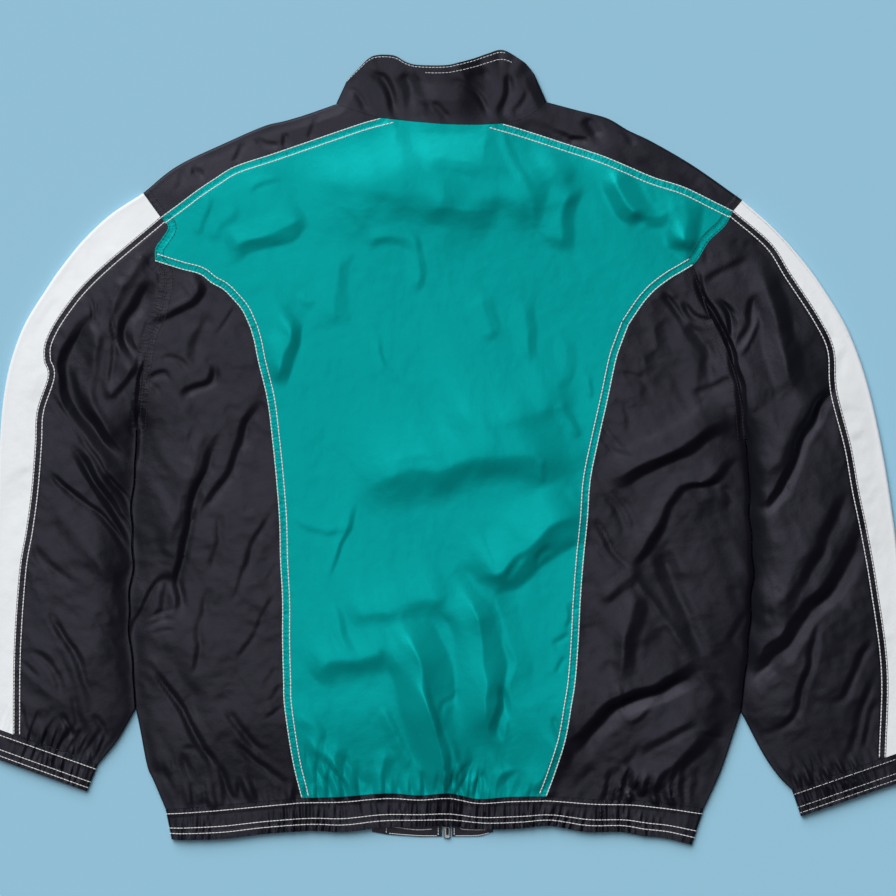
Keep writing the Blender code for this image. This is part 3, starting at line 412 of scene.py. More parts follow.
    ("sharp", -2.2, 4, 3.6, [(227, 736), (246, 758), (268, 772), (290, 794)]),
    ("sharp", -2, 3, 3, [(214, 768), (220, 784), (223, 802)]),
    ("sharp", -2, 10.1, 10.1, [(166, 640), (184, 682), (196, 720)]),
    ("sharp", -0.9, 2, 2, [(269, 582), (279, 564)]),
    ("sharp", -0.9, 2, 2, [(265, 684), (281, 662)]),
    ("sharp", -0.9, 2, 2, [(266, 702), (282, 680)]),
    ("sharp", -0.9, 2, 2, [(264, 719), (283, 704)]),
    ("sharp", -1.3, 4, 4, [(178, 744), (196, 752), (212, 766)]),
    # right side back
    ("sharp", -2, 3.5, 4, [(662, 292), (672, 308), (685, 326)]),
    ("sharp", -2, 5.8, 5.8, [(683, 320), (697, 345), (707, 372), (712, 398)]),
    ("sharp", -2.5, 3.5, 4, [(680, 301), (688, 314), (700, 322), (714, 327)]),
    ("sharp", -1, 3.6, 3.6, [(617, 374), (640, 382), (657, 402)]),
    ("sharp", -0.9, 3.6, 3.6, [(624, 398), (632, 416), (634, 440)]),
    ("sharp", -1.8, 3.6, 4.3, [(694, 399), (716, 392), (740, 385)]),
    ("sharp", 6.1, 14.4, 6.5, [(594, 484), (618, 478), (640, 468), (668, 454), (694, 439), (718, 424),
        (742, 411)]),
    ("sharp", 4.7, 10.1, 4.3, [(627, 567), (641, 548), (657, 523), (673, 501), (686, 486), (703, 482),
        (716, 474), (726, 459), (743, 440)]),
    ("sharp", -1.8, 3, 3.6, [(688, 488), (706, 486), (724, 482)]),
    ("sharp", -1.4, 3, 3, [(589, 520), (604, 535), (616, 550), (632, 569)]),
    ("sharp", -1, 2.5, 2.5, [(591, 538), (600, 549), (612, 558)]),
    ("soft", 1.6, 5, 5, [(632, 566), (655, 600), (676, 635), (692, 665)]),
    ("sharp", -2.9, 6.5, 7.2, [(661, 530), (676, 580), (690, 625), (703, 665)]),
    ("sharp", 3.4, 8.6, 9.4, [(616, 686), (628, 640), (640, 580)]),
    ("sharp", 2.3, 7.2, 6.5, [(594, 602), (618, 584), (644, 566)]),
    ("sharp", -8, 8.6, 7.9, [(706, 664), (684, 682), (660, 694), (634, 704), (608, 720), (586, 742),
        (558, 770)]),
    ("soft", 0.8, 2.2, 2.2, [(616, 681), (622, 702), (629, 726)]),
    ("soft", 0.8, 2.2, 2.2, [(627, 727), (643, 718), (650, 708), (656, 697)]),
    ("sharp", -2.2, 4, 3.6, [(634, 766), (656, 748), (680, 738), (706, 727)]),
    ("sharp", 4.7, 11.5, 6.5, [(620, 802), (656, 778), (690, 752), (729, 716)]),
    ("sharp", -1.7, 4, 4, [(596, 784), (620, 768), (647, 746)]),
    ("sharp", -1.4, 3, 3, [(562, 793), (578, 780), (594, 768)]),
    ("sharp", -1.9, 2.5, 3, [(749, 607), (738, 625), (727, 642)]),
    ("sharp", -1.4, 2.5, 2.5, [(698, 737), (714, 739), (732, 738)]),
    ("sharp", -1.2, 3, 3, [(601, 418), (612, 440), (628, 453)]),
    ("sharp", -1.2, 3, 3, [(599, 436), (614, 454), (634, 461)]),
    ("sharp", -1.2, 4, 4, [(597, 498), (612, 512), (625, 532)]),
    ("sharp", -1.1, 4, 4, [(607, 492), (624, 508), (633, 530)]),
    ("sharp", -1.3, 4, 4, [(722, 484), (728, 500), (727, 516)]),
    ("soft", 2, 10, 10, [(600, 468), (650, 446), (700, 414), (738, 398)]),
    ("soft", 2, 10, 10, [(724, 690), (690, 728), (640, 756)]),
    # right armhole: a deep crease down its seam
    ("sharp", -4.5, 3, 4, [(690, 256), (697, 272), (704, 296), (713, 320), (733, 364), (742, 400),
        (747, 440), (744, 466)]),
    # right sleeve
    ("soft", 6, 22, 75, [(752, 740), (762, 660), (766, 560), (764, 460), (752, 380), (735, 300)]),
    ("sharp", -1.6, 4, 4, [(700, 282), (722, 272), (742, 265), (758, 262)]),
    ("sharp", 5, 11.5, 10.8, [(797, 396), (784, 350), (772, 312), (763, 286), (755, 256)]),
    ("sharp", -3.2, 3.5, 3.5, [(715, 296), (722, 306), (729, 318), (731, 338), (727, 361)]),
    ("sharp", -1.1, 1.8, 1.8, [(729, 310), (736, 322), (743, 334)]),
    ("sharp", -2.6, 4, 4, [(759, 292), (749, 314), (745, 338), (732, 359)]),
    ("soft", 1.2, 2, 2, [(755, 322), (750, 345), (742, 358), (733, 364)]),
    ("sharp", -0.9, 2.5, 2.5, [(709, 246), (708, 264)]),
    ("sharp", -1.3, 4, 4, [(740, 247), (758, 253), (774, 264)]),
    ("sharp", -7, 5.8, 6.5, [(840, 382), (818, 412), (806, 438), (798, 462), (786, 488), (770, 506),
        (750, 515)]),
    ("sharp", -8, 7.9, 8.6, [(864, 518), (850, 556), (832, 590), (808, 618), (784, 644), (762, 672),
        (748, 704)]),
    ("sharp", -2.9, 5.8, 5.8, [(848, 484), (832, 520), (816, 556), (800, 598)]),
    ("sharp", -2.7, 4, 3.6, [(824, 616), (812, 652), (804, 676), (799, 702), (788, 722), (768, 739)]),
    ("sharp", -2.7, 3.6, 3.6, [(874, 636), (862, 662), (850, 686), (842, 704), (826, 709)]),
    ("sharp", -2.2, 4, 4, [(877, 674), (862, 712), (852, 744), (846, 774)]),
    ("sharp", -1.8, 3, 3, [(878, 702), (868, 728), (863, 754)]),
    ("sharp", -1.1, 3, 3, [(784, 660), (770, 676), (763, 692)]),
    ("sharp", -1.1, 3, 3, [(792, 318), (794, 340), (790, 358)]),
    ("sharp", -1.1, 4, 4, [(858, 560), (846, 586), (836, 610)]),
    ("soft", 2.6, 12, 12, [(812, 380), (786, 440), (762, 486)]),
    ("soft", 2.4, 11, 11, [(836, 486), (800, 556), (768, 622)]),
    # stripes
    ("sharp", -0.9, 4, 4, [(755, 203), (766, 216), (777, 232)]),
    ("sharp", -1.2, 5, 5, [(788, 238), (804, 260), (817, 284)]),
    ("sharp", -1.2, 5, 5, [(829, 298), (834, 324), (832, 352)]),
    ("sharp", -1.2, 5, 5, [(848, 346), (842, 362), (838, 378)]),
    ("sharp", -0.6, 6, 6, [(120, 214), (104, 236), (84, 262)]),
    ("sharp", -0.6, 6, 6, [(54, 292), (40, 320), (30, 350)]),
]
# hollows of the lower layer, seen from below: (high, wide, points)
HOLLOWS = [
    (1.6, 8, [(210, 250), (240, 330), (230, 420)]),
    (1.4, 7, [(330, 200), (300, 280), (310, 370)]),
    (1.8, 9, [(170, 520), (230, 560), (300, 640)]),
    (1.6, 8, [(190, 660), (250, 690), (300, 760)]),
    (1.4, 6, [(400, 420), (370, 520), (390, 640)]),
    (1.6, 8, [(350, 690), (380, 730), (370, 780)]),
    (1.6, 8, [(690, 250), (650, 330), (660, 430)]),
    (1.4, 7, [(560, 200), (590, 280), (580, 380)]),
    (1.8, 9, [(720, 540), (660, 580), (600, 650)]),
    (1.6, 8, [(700, 680), (640, 700), (590, 770)]),
    (1.4, 6, [(500, 400), (520, 500), (500, 620)]),
    (1.6, 8, [(540, 700), (510, 740), (520, 785)]),
    (1.6, 7, [(100, 300), (80, 370), (100, 440)]),
    (1.6, 7, [(60, 500), (90, 560), (70, 640)]),
    (1.4, 6, [(40, 640), (60, 690), (50, 730)]),
    (1.6, 7, [(790, 300), (810, 370), (790, 440)]),
    (1.6, 7, [(830, 520), (800, 580), (830, 650)]),
    (1.4, 6, [(850, 660), (830, 710), (850, 750)]),
]


# ------------------------------------------------------------- the relief
CELL = 1.0
ACROSS = np.arange(-476, 477, CELL)
UP = np.arange(-420, 421, CELL)
PLAN = np.stack(np.meshgrid(ACROSS, UP), -1)
DICE = np.random.default_rng(7)
STEEPER = {"sleeve": 0.6, "crease": 2.0, "under": 1.4}   # sleeves lie highest near the body
SINE_MEAN = 0.637       # mean of |sin|
PANEL_BLEND = 6.0       # the teal panel's cloth gives way to the black over this, on each side
YOKES_UP = (190, 250)   # the shoulders' cloth begins between these heights up the plan
ZIP_CLEAR = (22, 45)    # hollows keep off the zip: none to the first distance, whole from the second


def waves(shape):
    """Wave numbers up and across a field, in waves a cell."""
    return np.meshgrid(np.fft.fftfreq(shape[0]), np.fft.rfftfreq(shape[1]), indexing="ij")


def blurred(field, wide):
    """The field under a Gaussian of standard deviation wide, in cells."""
    v, u = waves(field.shape)
    gauss = np.exp(-2 * (math.pi * wide) ** 2 * (u * u + v * v))
    return np.fft.irfft2(np.fft.rfft2(field) * gauss, field.shape)


def uneven(size):
    """Random soft field of mean 0 and deviation 1 with features of that size in mm."""
    field = blurred(DICE.standard_normal(PLAN.shape[:2]), size / 3)
    return (field - field.mean()) / field.std()


def facets(size, soft):
    """Crumpling: 0.8 less the size of uneven(size), which comes to ridges, blurred by soft cells."""
    return blurred(0.8 - np.abs(uneven(size)), soft)


def beside(p, line):
    """Length along a line to the nearest point of it, and how far p stands off.

    For each stretch the point is dropped on it; the nearest stretch counts,
    and the distance is positive on the left of the way.
    """
    best = np.full(p.shape[:-1], np.inf)
    along, off, start = np.zeros_like(best), np.zeros_like(best), 0.0
    for a, b in zip(line, line[1:]):
        way = b - a
        long = np.hypot(*way)
        way = way / long
        out = p - a
        t = np.clip(out @ way, 0, long)
        away = out - t[..., None] * way
        far = (away ** 2).sum(-1)
        near = far < best
        best = np.where(near, far, best)
        along = np.where(near, start + t, along)
        side = np.sign(way[0] * out[..., 1] - way[1] * out[..., 0])
        off = np.where(near, side * np.sqrt(far), off)
        start += long
    return along, off


def edge_distance():
    """Distance to the nearest folded edge, times STEEPER, worked out on every second
    cell and filled in between along straight lines."""
    coarse = PLAN[::2, ::2]
    far = np.full(coarse.shape[:2], np.inf)
    for name in EDGES:
        line = LINE[name]
        line = even(line, max(2, len(line) // 8))
        far = np.minimum(far, np.abs(beside(coarse, line)[1]) * STEEPER.get(name[:-2], 1.0))
    rows = np.arange(PLAN.shape[0]) / 2
    columns = np.arange(PLAN.shape[1]) / 2
    across = np.array([np.interp(columns, np.arange(far.shape[1]), row) for row in far])
    return np.array([np.interp(rows, np.arange(far.shape[0]), column) for column in across.T]).T


def window(points, margin):
    """The part of the grid round some points, as two slices."""
    low = ((points.min(0) - margin - (ACROSS[0], UP[0])) / CELL).astype(int)
    high = ((points.max(0) + margin - (ACROSS[0], UP[0])) / CELL).astype(int) + 2
    return (slice(max(low[1], 0), max(high[1], 0)), slice(max(low[0], 0), max(high[0], 0)))


def creased(grid, rows):
    """Sum of the creases over the grid's points.

    With u the distance off the line over the width of that side, a soft one
    is high * exp(-|u| ** 1.8).  A sharp one is a tent with flat sides 1.5
    widths wide: high * (t + sqrt(t ** 2 + 0.004)) / 2 with t = 1 - r / width
    / 1.5, where r is the root of distance ** 2 + ROUND ** 2.  Each fades out
    over the first and last FADES of the straight way from end to end.
    """
    total = np.zeros(grid.shape[:2])
    for kind, high, left, right, points in rows:
        line = smooth(points, 3 * len(points))
        part = window(line, 3.0 * max(left, right) + 6)
        off = beside(grid[part], line)[1]
        wide = np.where(off > 0, left, right)
        if kind == "soft":
            shape = np.exp(-np.abs(off / wide) ** 1.8)
        else:
            tent = 1 - np.sqrt(off * off + ROUND ** 2) / (1.5 * wide)
            shape = (tent + np.sqrt(tent * tent + 0.004)) / 2
        way = line[-1] - line[0]
        s = (grid[part] - line[0]) @ way / (way @ way)
        total[part] += high * shape * step(s, 0, FADES) * (1 - step(s, 1 - FADES, 1))
    return total


def leaning(z):
    """The folds z with gentler slopes where they face the way of TOWARD.

    There the slope keeps the share KEPT.  What is taken off it, t, comes
    back as a height c whose slope along TOWARD is t: with k the wave number
    and m its part along TOWARD, c = -i m t / (m ** 2 + k ** 2 / SIDEWAYS +
    1 / RECOVERS ** 2), wave by wave.
    """
    up, across = np.gradient(z, CELL)
    slope = across * TOWARD[0] + up * TOWARD[1]
    taken = np.maximum(-slope, 0) * (1 - KEPT)
    v, u = waves(z.shape)
    u, v = 2 * math.pi * u / CELL, 2 * math.pi * v / CELL
    m = u * TOWARD[0] + v * TOWARD[1]
    wave = -1j * m * np.fft.rfft2(taken) / (m * m + (u * u + v * v) / SIDEWAYS + RECOVERS ** -2)
    return z + np.fft.irfft2(wave, z.shape)


def gathered(line, reach, high, sizes):
    """Gathers that run square from a line and fade over reach.

    For each size in mm the height is |sin(pi * length / size + drift)|, round
    on top and pinched between, less its mean; they are averaged, and
    multiplied by exp(-(distance / reach) ** 2) and a soft random share.
    """
    part = window(line, 2.5 * reach)
    along, off = beside(PLAN[part], even(line, 40))
    slow, quick = DRIFT[0][part], DRIFT[1][part]
    wave = sum(np.abs(np.sin(math.pi * along / size + (slow, quick)[k % 2] + 1.7 * k)) - SINE_MEAN
               for k, size in enumerate(sizes)) / len(sizes)
    reach = reach * np.clip(1 + 0.35 * quick, 0.5, 1.6)
    share = np.clip(0.75 + 0.6 * slow, 0.15, 1.8)
    total = np.zeros(PLAN.shape[:2])
    total[part] = high * wave * share * np.exp(-(off / reach) ** 2)
    return total


def lift(p):
    """How far the lower layer is held up, at the zip's end in the collar."""
    x = np.abs(p[..., 0] - ZIP_X)
    down = CENTRE_DOWN - p[..., 1]
    return LIFT * (1 - step(x, *LIFT_HALF)) * np.clip((LIFT_FROM - down) / LIFT_OVER, 0, 1)


def beside_panel():
    """How far each point lies inside the teal panel's side seams, in mm."""
    left = beside(PLAN, even(run("wing_L", "side_L"), 30))[1]
    right = beside(PLAN, even(run("wing_R", "side_R"), 30))[1]
    return np.minimum(left, -right)


DRIFT = [uneven(60), uneven(34)]        # a slow and a quick random swell, shared by all that varies
# how far creases stray from their lines, across and up
WARP = np.stack([uneven(26), uneven(26)], -1) * 1.3 + np.stack([uneven(70), uneven(70)], -1) * 2.0
FAR = edge_distance()


def relief():
    """Top of the upper layer over the floor on PLAN, in mm.

    EDGE_HIGH + PUFF * (1 - exp(-d / REACH)) at the distance d inside the
    folded edges, brought down to FLAT at the open ends.  Added to it are the
    creases bent a little by WARP, the crumpling and the gathers, all made to
    lean, and the pinched gathers.  A softened maximum holds the sum above
    the lower layer.
    """
    inside = np.maximum(FAR - BEND, 0)
    z = blurred(EDGE_HIGH + PUFF * (1 - np.exp(-inside / REACH)), 4)
    folds = creased(PLAN + WARP, CREASES) * (0.9 + 0.12 * DRIFT[0] + 0.08 * DRIFT[1])
    crumple = 0.5 * facets(34, 1.2) + 0.30 * facets(17, 0.9) + 0.5 * uneven(48) + 0.15 * facets(9, 0.7)
    # the black cloth is creased a little deeper and crumpled more than the teal, most at the shoulders
    teal = step(beside_panel(), -PANEL_BLEND, PANEL_BLEND)
    shoulders = step(PLAN[..., 1], *YOKES_UP) * (1 - teal)
    folds *= 1.18 - 0.13 * teal
    folds += crumple * (0.9 - 0.6 * teal + 0.8 * shoulders)
    gathers = sum(gathered(*row) for row in GATHERS)
    pinched = sum(gathered(*row) for row in PINCHED)
    free = 1 - np.exp(-inside / EDGE_FREE)
    folds *= free
    for ends, near, far, seam, share in OPEN_ENDS:
        away = np.min([np.abs(beside(PLAN, line)[1]) for line in ends], 0)
        loose = step(away, near, far)
        z = z * loose + np.minimum(z, FLAT) * (1 - loose)
        folds *= share + (1 - share) * step(away, seam, seam + FLAT_TO_FREE)
        gathers *= step(away, seam - 8, seam + 4)
    folds = leaning(folds + gathers * free)
    held = lift(PLAN)
    low = LEAST + held
    return low + SOFTENED * np.logaddexp(0, (z + held + folds + pinched - low) / SOFTENED)


def hollow():
    """How far the lower layer's underside stands off the floor on PLAN: its creases and
    a few random swells, none near the edges or the zip."""
    creases = creased(PLAN + WARP, [("soft", h, w, w, points) for h, w, points in HOLLOWS])
    z = np.clip(creases + 0.35 * np.maximum(uneven(40), 0), 0, HOLLOW_MOST)
    return z * (step(FAR, 8, 24) * step(np.abs(PLAN[..., 0] - ZIP_X), *ZIP_CLEAR))


def sampled(field, p):
    """The field at points of the plan, by cubic interpolation (Catmull-Rom)."""
    x, y = (p[..., 0] - ACROSS[0]) / CELL, (p[..., 1] - UP[0]) / CELL
    i, j = np.floor(x).astype(int), np.floor(y).astype(int)

    def weights(t):
        """Share of each of the four values around, at t between the middle two."""
        return (0.5 * t * (-1 + t * (2 - t)), 1 + t * t * (-2.5 + 1.5 * t),
                0.5 * t * (1 + t * (4 - 3 * t)), 0.5 * t * t * (t - 1))

    wx, wy = weights(x - i), weights(y - j)
    columns = [np.clip(i + a - 1, 0, field.shape[1] - 1) for a in range(4)]
    rows = [np.clip(j + b - 1, 0, field.shape[0] - 1) for b in range(4)]
    return sum(wy[b] * sum(wx[a] * field[rows[b], columns[a]] for a in range(4)) for b in range(4))


RELIEF = relief()
HOLLOW = hollow()


def height(p):
    """Top of the upper layer at points of the plan."""
    return sampled(RELIEF, p)


def floor_height(p):
    """Underside of the lower layer: the lift at the zip's end, and its hollows."""
    return UNDER + lift(p) + sampled(HOLLOW, p)


# ------------------------------------------------------------- the grids
BOW = 1.6               # power of a bowed line's fading into a grid
ARC = np.radians([66, 44, 22, 0, -22, -44, -66, -90])   # stops round a folded edge
EASED = 5               # columns beside a folded edge that shift with it


def patch(left, right, top, foot, bow_top=BOW):
    """Rows of points between four lines that meet at their ends.

    A row runs straight from left to right, plus the top line's departure
    from its chord times (1 - v) ** bow_top, and the foot line's times
    v ** BOW, at the share v of the way down.
    """
    v = np.linspace(0, 1, len(left))[:, None, None]
    u = np.linspace(0, 1, len(top))[None, :, None]
    rows = left[:, None] * (1 - u) + right[:, None] * u
    for line, weight in ((top, (1 - v) ** bow_top), (foot, v ** BOW)):
        chord = line[0] * (1 - u) + line[-1] * u
        rows = rows + weight * (line[None] - chord)
    return rows


def inset(rows, left, right, top, foot):
    """The rows with each side moved inwards, square to it, by its distance."""
    out = rows.copy()
    every = slice(None)
    for index, beyond, by in (((every, 0), (every, 1), left), ((every, -1), (every, -2), right),
                              ((0, every), (1, every), top), ((-1, every), (-2, every), foot)):
        n = normal(rows[index])
        side = np.sign(((rows[beyond] - rows[index]) * n).sum())
        out[index] += side * n * np.asarray(by, float).reshape(-1, 1)
    return out


def upper(plan):
    """Outer and inner points of the upper layer over plan points."""
    z = height(plan)[..., None]
    return np.concatenate([plan, z], -1), np.concatenate([plan, z - WALL], -1)


def turned(ends, out, floor, bend=BEND):
    """Round a folded edge from the last upper points and back over the floor.

    A half ellipse, bend wide and as high as the cloth at ends, in the plane
    of out; then the floor's plan points, an array of columns.
    """
    z = height(ends)[:, None, None]
    c, s = np.cos(ARC)[None, :, None], np.sin(ARC)[None, :, None]
    foot = floor_height(ends)[:, None, None]
    low = floor_height(floor)[..., None]
    outer = np.concatenate([ends[:, None] + out[:, None] * bend * c,
                            (z + foot) / 2 + (z - foot) / 2 * s], -1)
    inner = np.concatenate([ends[:, None] + out[:, None] * (bend - WALL) * c,
                            (z + foot) / 2 + ((z - foot) / 2 - WALL) * s], -1)
    return (np.concatenate([outer, np.concatenate([floor, low], -1)], 1),
            np.concatenate([inner, np.concatenate([floor, low + WALL], -1)], 1))


def fold_out(rows, start, shared):
    """Unit ways outwards at the folded edge: square to it, and along the row's own
    line at an end that a neighbour shares, over SHARED_OVER."""
    edge = rows[start:, -1]
    way = edge - rows[start:, -3]
    way /= np.linalg.norm(way, axis=1)[:, None]
    n = normal(edge)
    n *= np.sign((n * way).sum(1))[:, None]
    length = lengths(edge)
    along = np.maximum(shared[0] * (1 - step(length, 0, SHARED_OVER)),
                       shared[1] * (1 - step(length[-1] - length, 0, SHARED_OVER)))
    out = n * (1 - along[:, None]) + way * along[:, None]
    return out / np.linalg.norm(out, axis=1)[:, None]


def folded(rows, depth, cells, start=0, apart=0.0, shared=(True, True), bend=BEND):
    """Outer and inner grids of upper rows, and those that go on round a folded edge
    to depth over the floor, and the plan line that a neighbour there meets.

    Before row start the rows end at a seam; their fold columns shrink there
    to the seam's own end, so that the grid stays whole.  apart draws the edge
    back from its line.
    """
    out = np.zeros((len(rows), 2))
    out[start:] = fold_out(rows, start, shared)
    seam = np.where(np.arange(len(rows)) < start, GAP / 2, 0)
    plan = inset(rows, left=GAP / 2, right=seam, top=GAP / 2, foot=GAP / 2)
    plan[start:, -1] -= out[start:] * (bend + np.broadcast_to(apart, len(rows) - start)[:, None])
    shift = (plan[:, -1] - rows[:, -1])[:, None] * (np.linspace(0, 1, EASED) ** 2)[:, None]
    beside_edge = slice(-EASED - 1, -1)
    plan[:, beside_edge] = rows[:, beside_edge] + shift * np.linspace(0.1, 0.8, EASED)[:, None]
    ends = plan[:, -1]
    back = np.linspace(0, depth, cells + 1)[1:]
    floor = ends[:, None] - out[:, None] * back[None, :, None]
    return upper(plan), turned(ends, out, floor, bend), ends - out * (depth + GAP)


def ring(layers):
    """Outer and inner grids of a flattened ring, layer by layer.

    A layer is (floor points up to the first fold, upper points from fold to
    fold, floor points after the last fold); a whole ring has none of the
    first, and closes on itself.
    """
    outer, inner = [], []
    for before, top, after in layers:
        z = height(top)[:, None]
        turns = []
        for end, prev, floor in ((top[0], top[1], before), (top[-1], top[-2], after)):
            out = (end - prev) / np.linalg.norm(end - prev)
            turns.append([t[0] for t in turned(end[None], out[None], floor[None])])
        first, last = turns
        outer.append(np.vstack([first[0][::-1], np.hstack([top, z]), last[0]]))
        inner.append(np.vstack([first[1][::-1], np.hstack([top, z - WALL]), last[1]]))
    return np.array(outer), np.array(inner)


def odd(grid):
    """The grid with an odd number of rows and columns, as shell() wants."""
    return grid[:len(grid) - 1 + len(grid) % 2, :grid.shape[1] - 1 + grid.shape[1] % 2]


# ------------------------------------------------------------- the meshes
SHARP_ANGLE = math.radians(50)
NO_SEAM = 99.0          # distance off a seam, on a piece that has none
SIDES = 5               # points round a stitch, and rings along it
UNEVENLY = 0.06         # deviation of a stitch from its place
PRESSED = 0.03          # stitches on the underside come down to this height


def joined(vertices, faces, name, material):
    """A mesh object from arrays of points in mm and of faces."""
    mesh = bpy.data.meshes.new(name)
    mesh.from_pydata(np.asarray(vertices) * MM, [], [f for block in faces for f in block.tolist()])
    mesh.update()
    obj = bpy.data.objects.new(name, mesh)
    bpy.context.scene.collection.objects.link(obj)
    mesh.materials.append(material)
    mesh.shade_smooth()
    mesh.set_sharp_from_angle(angle=SHARP_ANGLE)
    return obj


def quads(ids, turn=False):
    """Faces between neighbours in the last two ways of a grid of vertex numbers."""
    a, b, c, d = ids[..., :-1, :-1], ids[..., :-1, 1:], ids[..., 1:, 1:], ids[..., 1:, :-1]
    loop = (a, d, c, b) if turn else (a, b, c, d)
    return np.stack([k.ravel() for k in loop], -1)


def rim(fine, coarse):
    """Faces that close a shell between its outer edge and its inner edge,
    which has every second point: three triangles for each of its stretches."""
    o0, o1, o2 = fine[:-2:2], fine[1:-1:2], fine[2::2]
    i0, i1 = coarse[:-1], coarse[1:]
    return np.concatenate([np.stack(t, -1) for t in ((o0, i0, o1), (o1, i0, i1), (o1, i1, o2))])


def shell(name, outer, inner, material, around=False):
    """A closed thin shell from outer and inner grids of points in mm.

    The inner side has every second row and column of points.  around joins
    the last column to the first.  The faces are turned round if the volume
    that they enclose, the sum of a . (b x c), comes out negative.
    """
    if around:
        outer = np.concatenate([outer, outer[:, :1]], 1)
        inner = np.concatenate([inner, inner[:, :1]], 1)
    inner = inner[::2, ::2]
    fine = np.arange(outer.shape[0] * outer.shape[1]).reshape(outer.shape[:2])
    coarse = np.arange(inner.shape[0] * inner.shape[1]).reshape(inner.shape[:2]) + fine.size
    if around:
        fine[:, -1], coarse[:, -1] = fine[:, 0], coarse[:, 0]
    points = np.concatenate([outer.reshape(-1, 3), inner.reshape(-1, 3)])
    faces = [quads(fine, True), quads(coarse)]
    faces += [rim(fine[0], coarse[0]), rim(fine[-1][::-1], coarse[-1][::-1])]
    if not around:
        faces += [rim(fine[::-1, 0], coarse[::-1, 0]), rim(fine[:, -1], coarse[:, -1])]
    tri = np.concatenate([f[:, :3] for f in faces] + [f[:, [0, 2, 3]] for f in faces if f.shape[1] == 4])
    a, b, c = (points[tri[:, k]] for k in range(3))
    if (a * np.cross(b, c)).sum() < 0:
        faces = [f[:, ::-1] for f in faces]
    used = np.unique(np.concatenate([f.ravel() for f in faces]))
    number = np.zeros(len(points), int)
    number[used] = np.arange(len(used))
    return joined(points[used], [number[f] for f in faces], name, material)


def mark_seams(obj, lines):
    """Two attributes of the points: distance off the nearest of some seams, and length along it."""
    mesh = obj.data
    p = np.empty(len(mesh.vertices) * 3)
    mesh.vertices.foreach_get("co", p)
    p = p.reshape(-1, 3)[:, :2] / MM
    off = np.full(len(p), NO_SEAM)
    along = np.zeros(len(p))
    for line in lines:
        length, away = beside(p, even(line, 40))
        near = np.abs(away) < off
        off, along = np.where(near, np.abs(away), off), np.where(near, length, along)
    for name, values in (("seam_off", off), ("seam_along", along)):
        mesh.attributes.new(name, "FLOAT", "POINT").data.foreach_set("value", values.astype(np.float32))


def stitches(name, rows, material, thick, pitch=3.5, long=3.4):
    """Rows of stitches along paths of points and normals, all in one mesh.

    Each stitch is a tube: at the fraction t of its length it stands
    thick * (0.4 - 2 t ** 2) proud, so that its ends dip into the cloth, and
    its radius is thick / 2 * sqrt(1 - (1.7 t) ** 2), 0.8 of that in height.
    On the underside it is pressed flat by the floor.
    """
    parts, faces, count = [], [], 0
    turn = np.linspace(0, 2 * math.pi, SIDES, endpoint=False)
    t = np.array([-0.5, -0.3, 0, 0.3, 0.5])
    for points, up in rows:
        length = lengths(points)
        number = max(1, int(length[-1] / pitch))
        middle = (np.arange(number) + 0.5) * length[-1] / number + DICE.normal(0, UNEVENLY, number)
        stops = middle[:, None] + t * long
        p, n = (np.stack([np.interp(stops, length, a[:, k]) for k in range(3)], -1) for a in (points, up))
        way = np.gradient(p, axis=1)
        way /= np.linalg.norm(way, axis=-1, keepdims=True)
        n /= np.linalg.norm(n, axis=-1, keepdims=True)
        across = np.cross(way, n)
        radius = thick / 2 * np.sqrt(1 - (1.7 * t) ** 2)[None, :, None, None]
        p = p + n * (thick * (0.4 - 2.0 * t * t))[None, :, None]
        tube = p[:, :, None] + radius * (across[:, :, None] * np.cos(turn)[:, None]
                                         + 0.8 * n[:, :, None] * np.sin(turn)[:, None])
        tube[..., 2] = np.maximum(tube[..., 2], PRESSED)
        ids = count + np.arange(number * SIDES ** 2).reshape(number, SIDES, SIDES)
        faces += [quads(np.concatenate([ids, ids[:, :, :1]], 2), True), ids[:, 0], ids[:, -1, ::-1]]
        parts.append(tube.reshape(-1, 3))
        count += ids.size
    obj = joined(np.concatenate(parts), faces, name, material)
    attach(obj, "garment")


def on_cloth(line, off):
    """Points and normals of the upper layer along a plan line, moved off to its left.

    The normal is (-dz/dx, -dz/dy, 1), from heights 0.8 mm to each side."""
    line = even(line, max(4, int(lengths(line)[-1] / 1.2)))
    p = line + normal(line) * off
    d = 0.8
    slope = np.stack([(height(p + (d, 0)) - height(p - (d, 0))) / (2 * d),
                      (height(p + (0, d)) - height(p - (0, d))) / (2 * d)], -1)
    up = np.concatenate([-slope, np.ones((len(p), 1))], -1)
    return np.concatenate([p, height(p)[:, None]], -1), up


def on_grid(outer, share):
    """Points and normals of a shell's outer grid at a share of the way down its rows."""
    r = share * (len(outer) - 1)
    k = min(int(r), len(outer) - 2)
    p = outer[k] * (1 - r + k) + outer[k + 1] * (r - k)
    return p, np.cross(outer[k + 1] - outer[k], np.gradient(p, axis=0))


def between(row, low, high):
    """The part of a row of points and normals whose x lies between low and high."""
    points, up = row
    kept = (points[:, 0] > low) & (points[:, 0] < high) & (points[:, 2] > LEAST)
    return points[kept], up[kept]


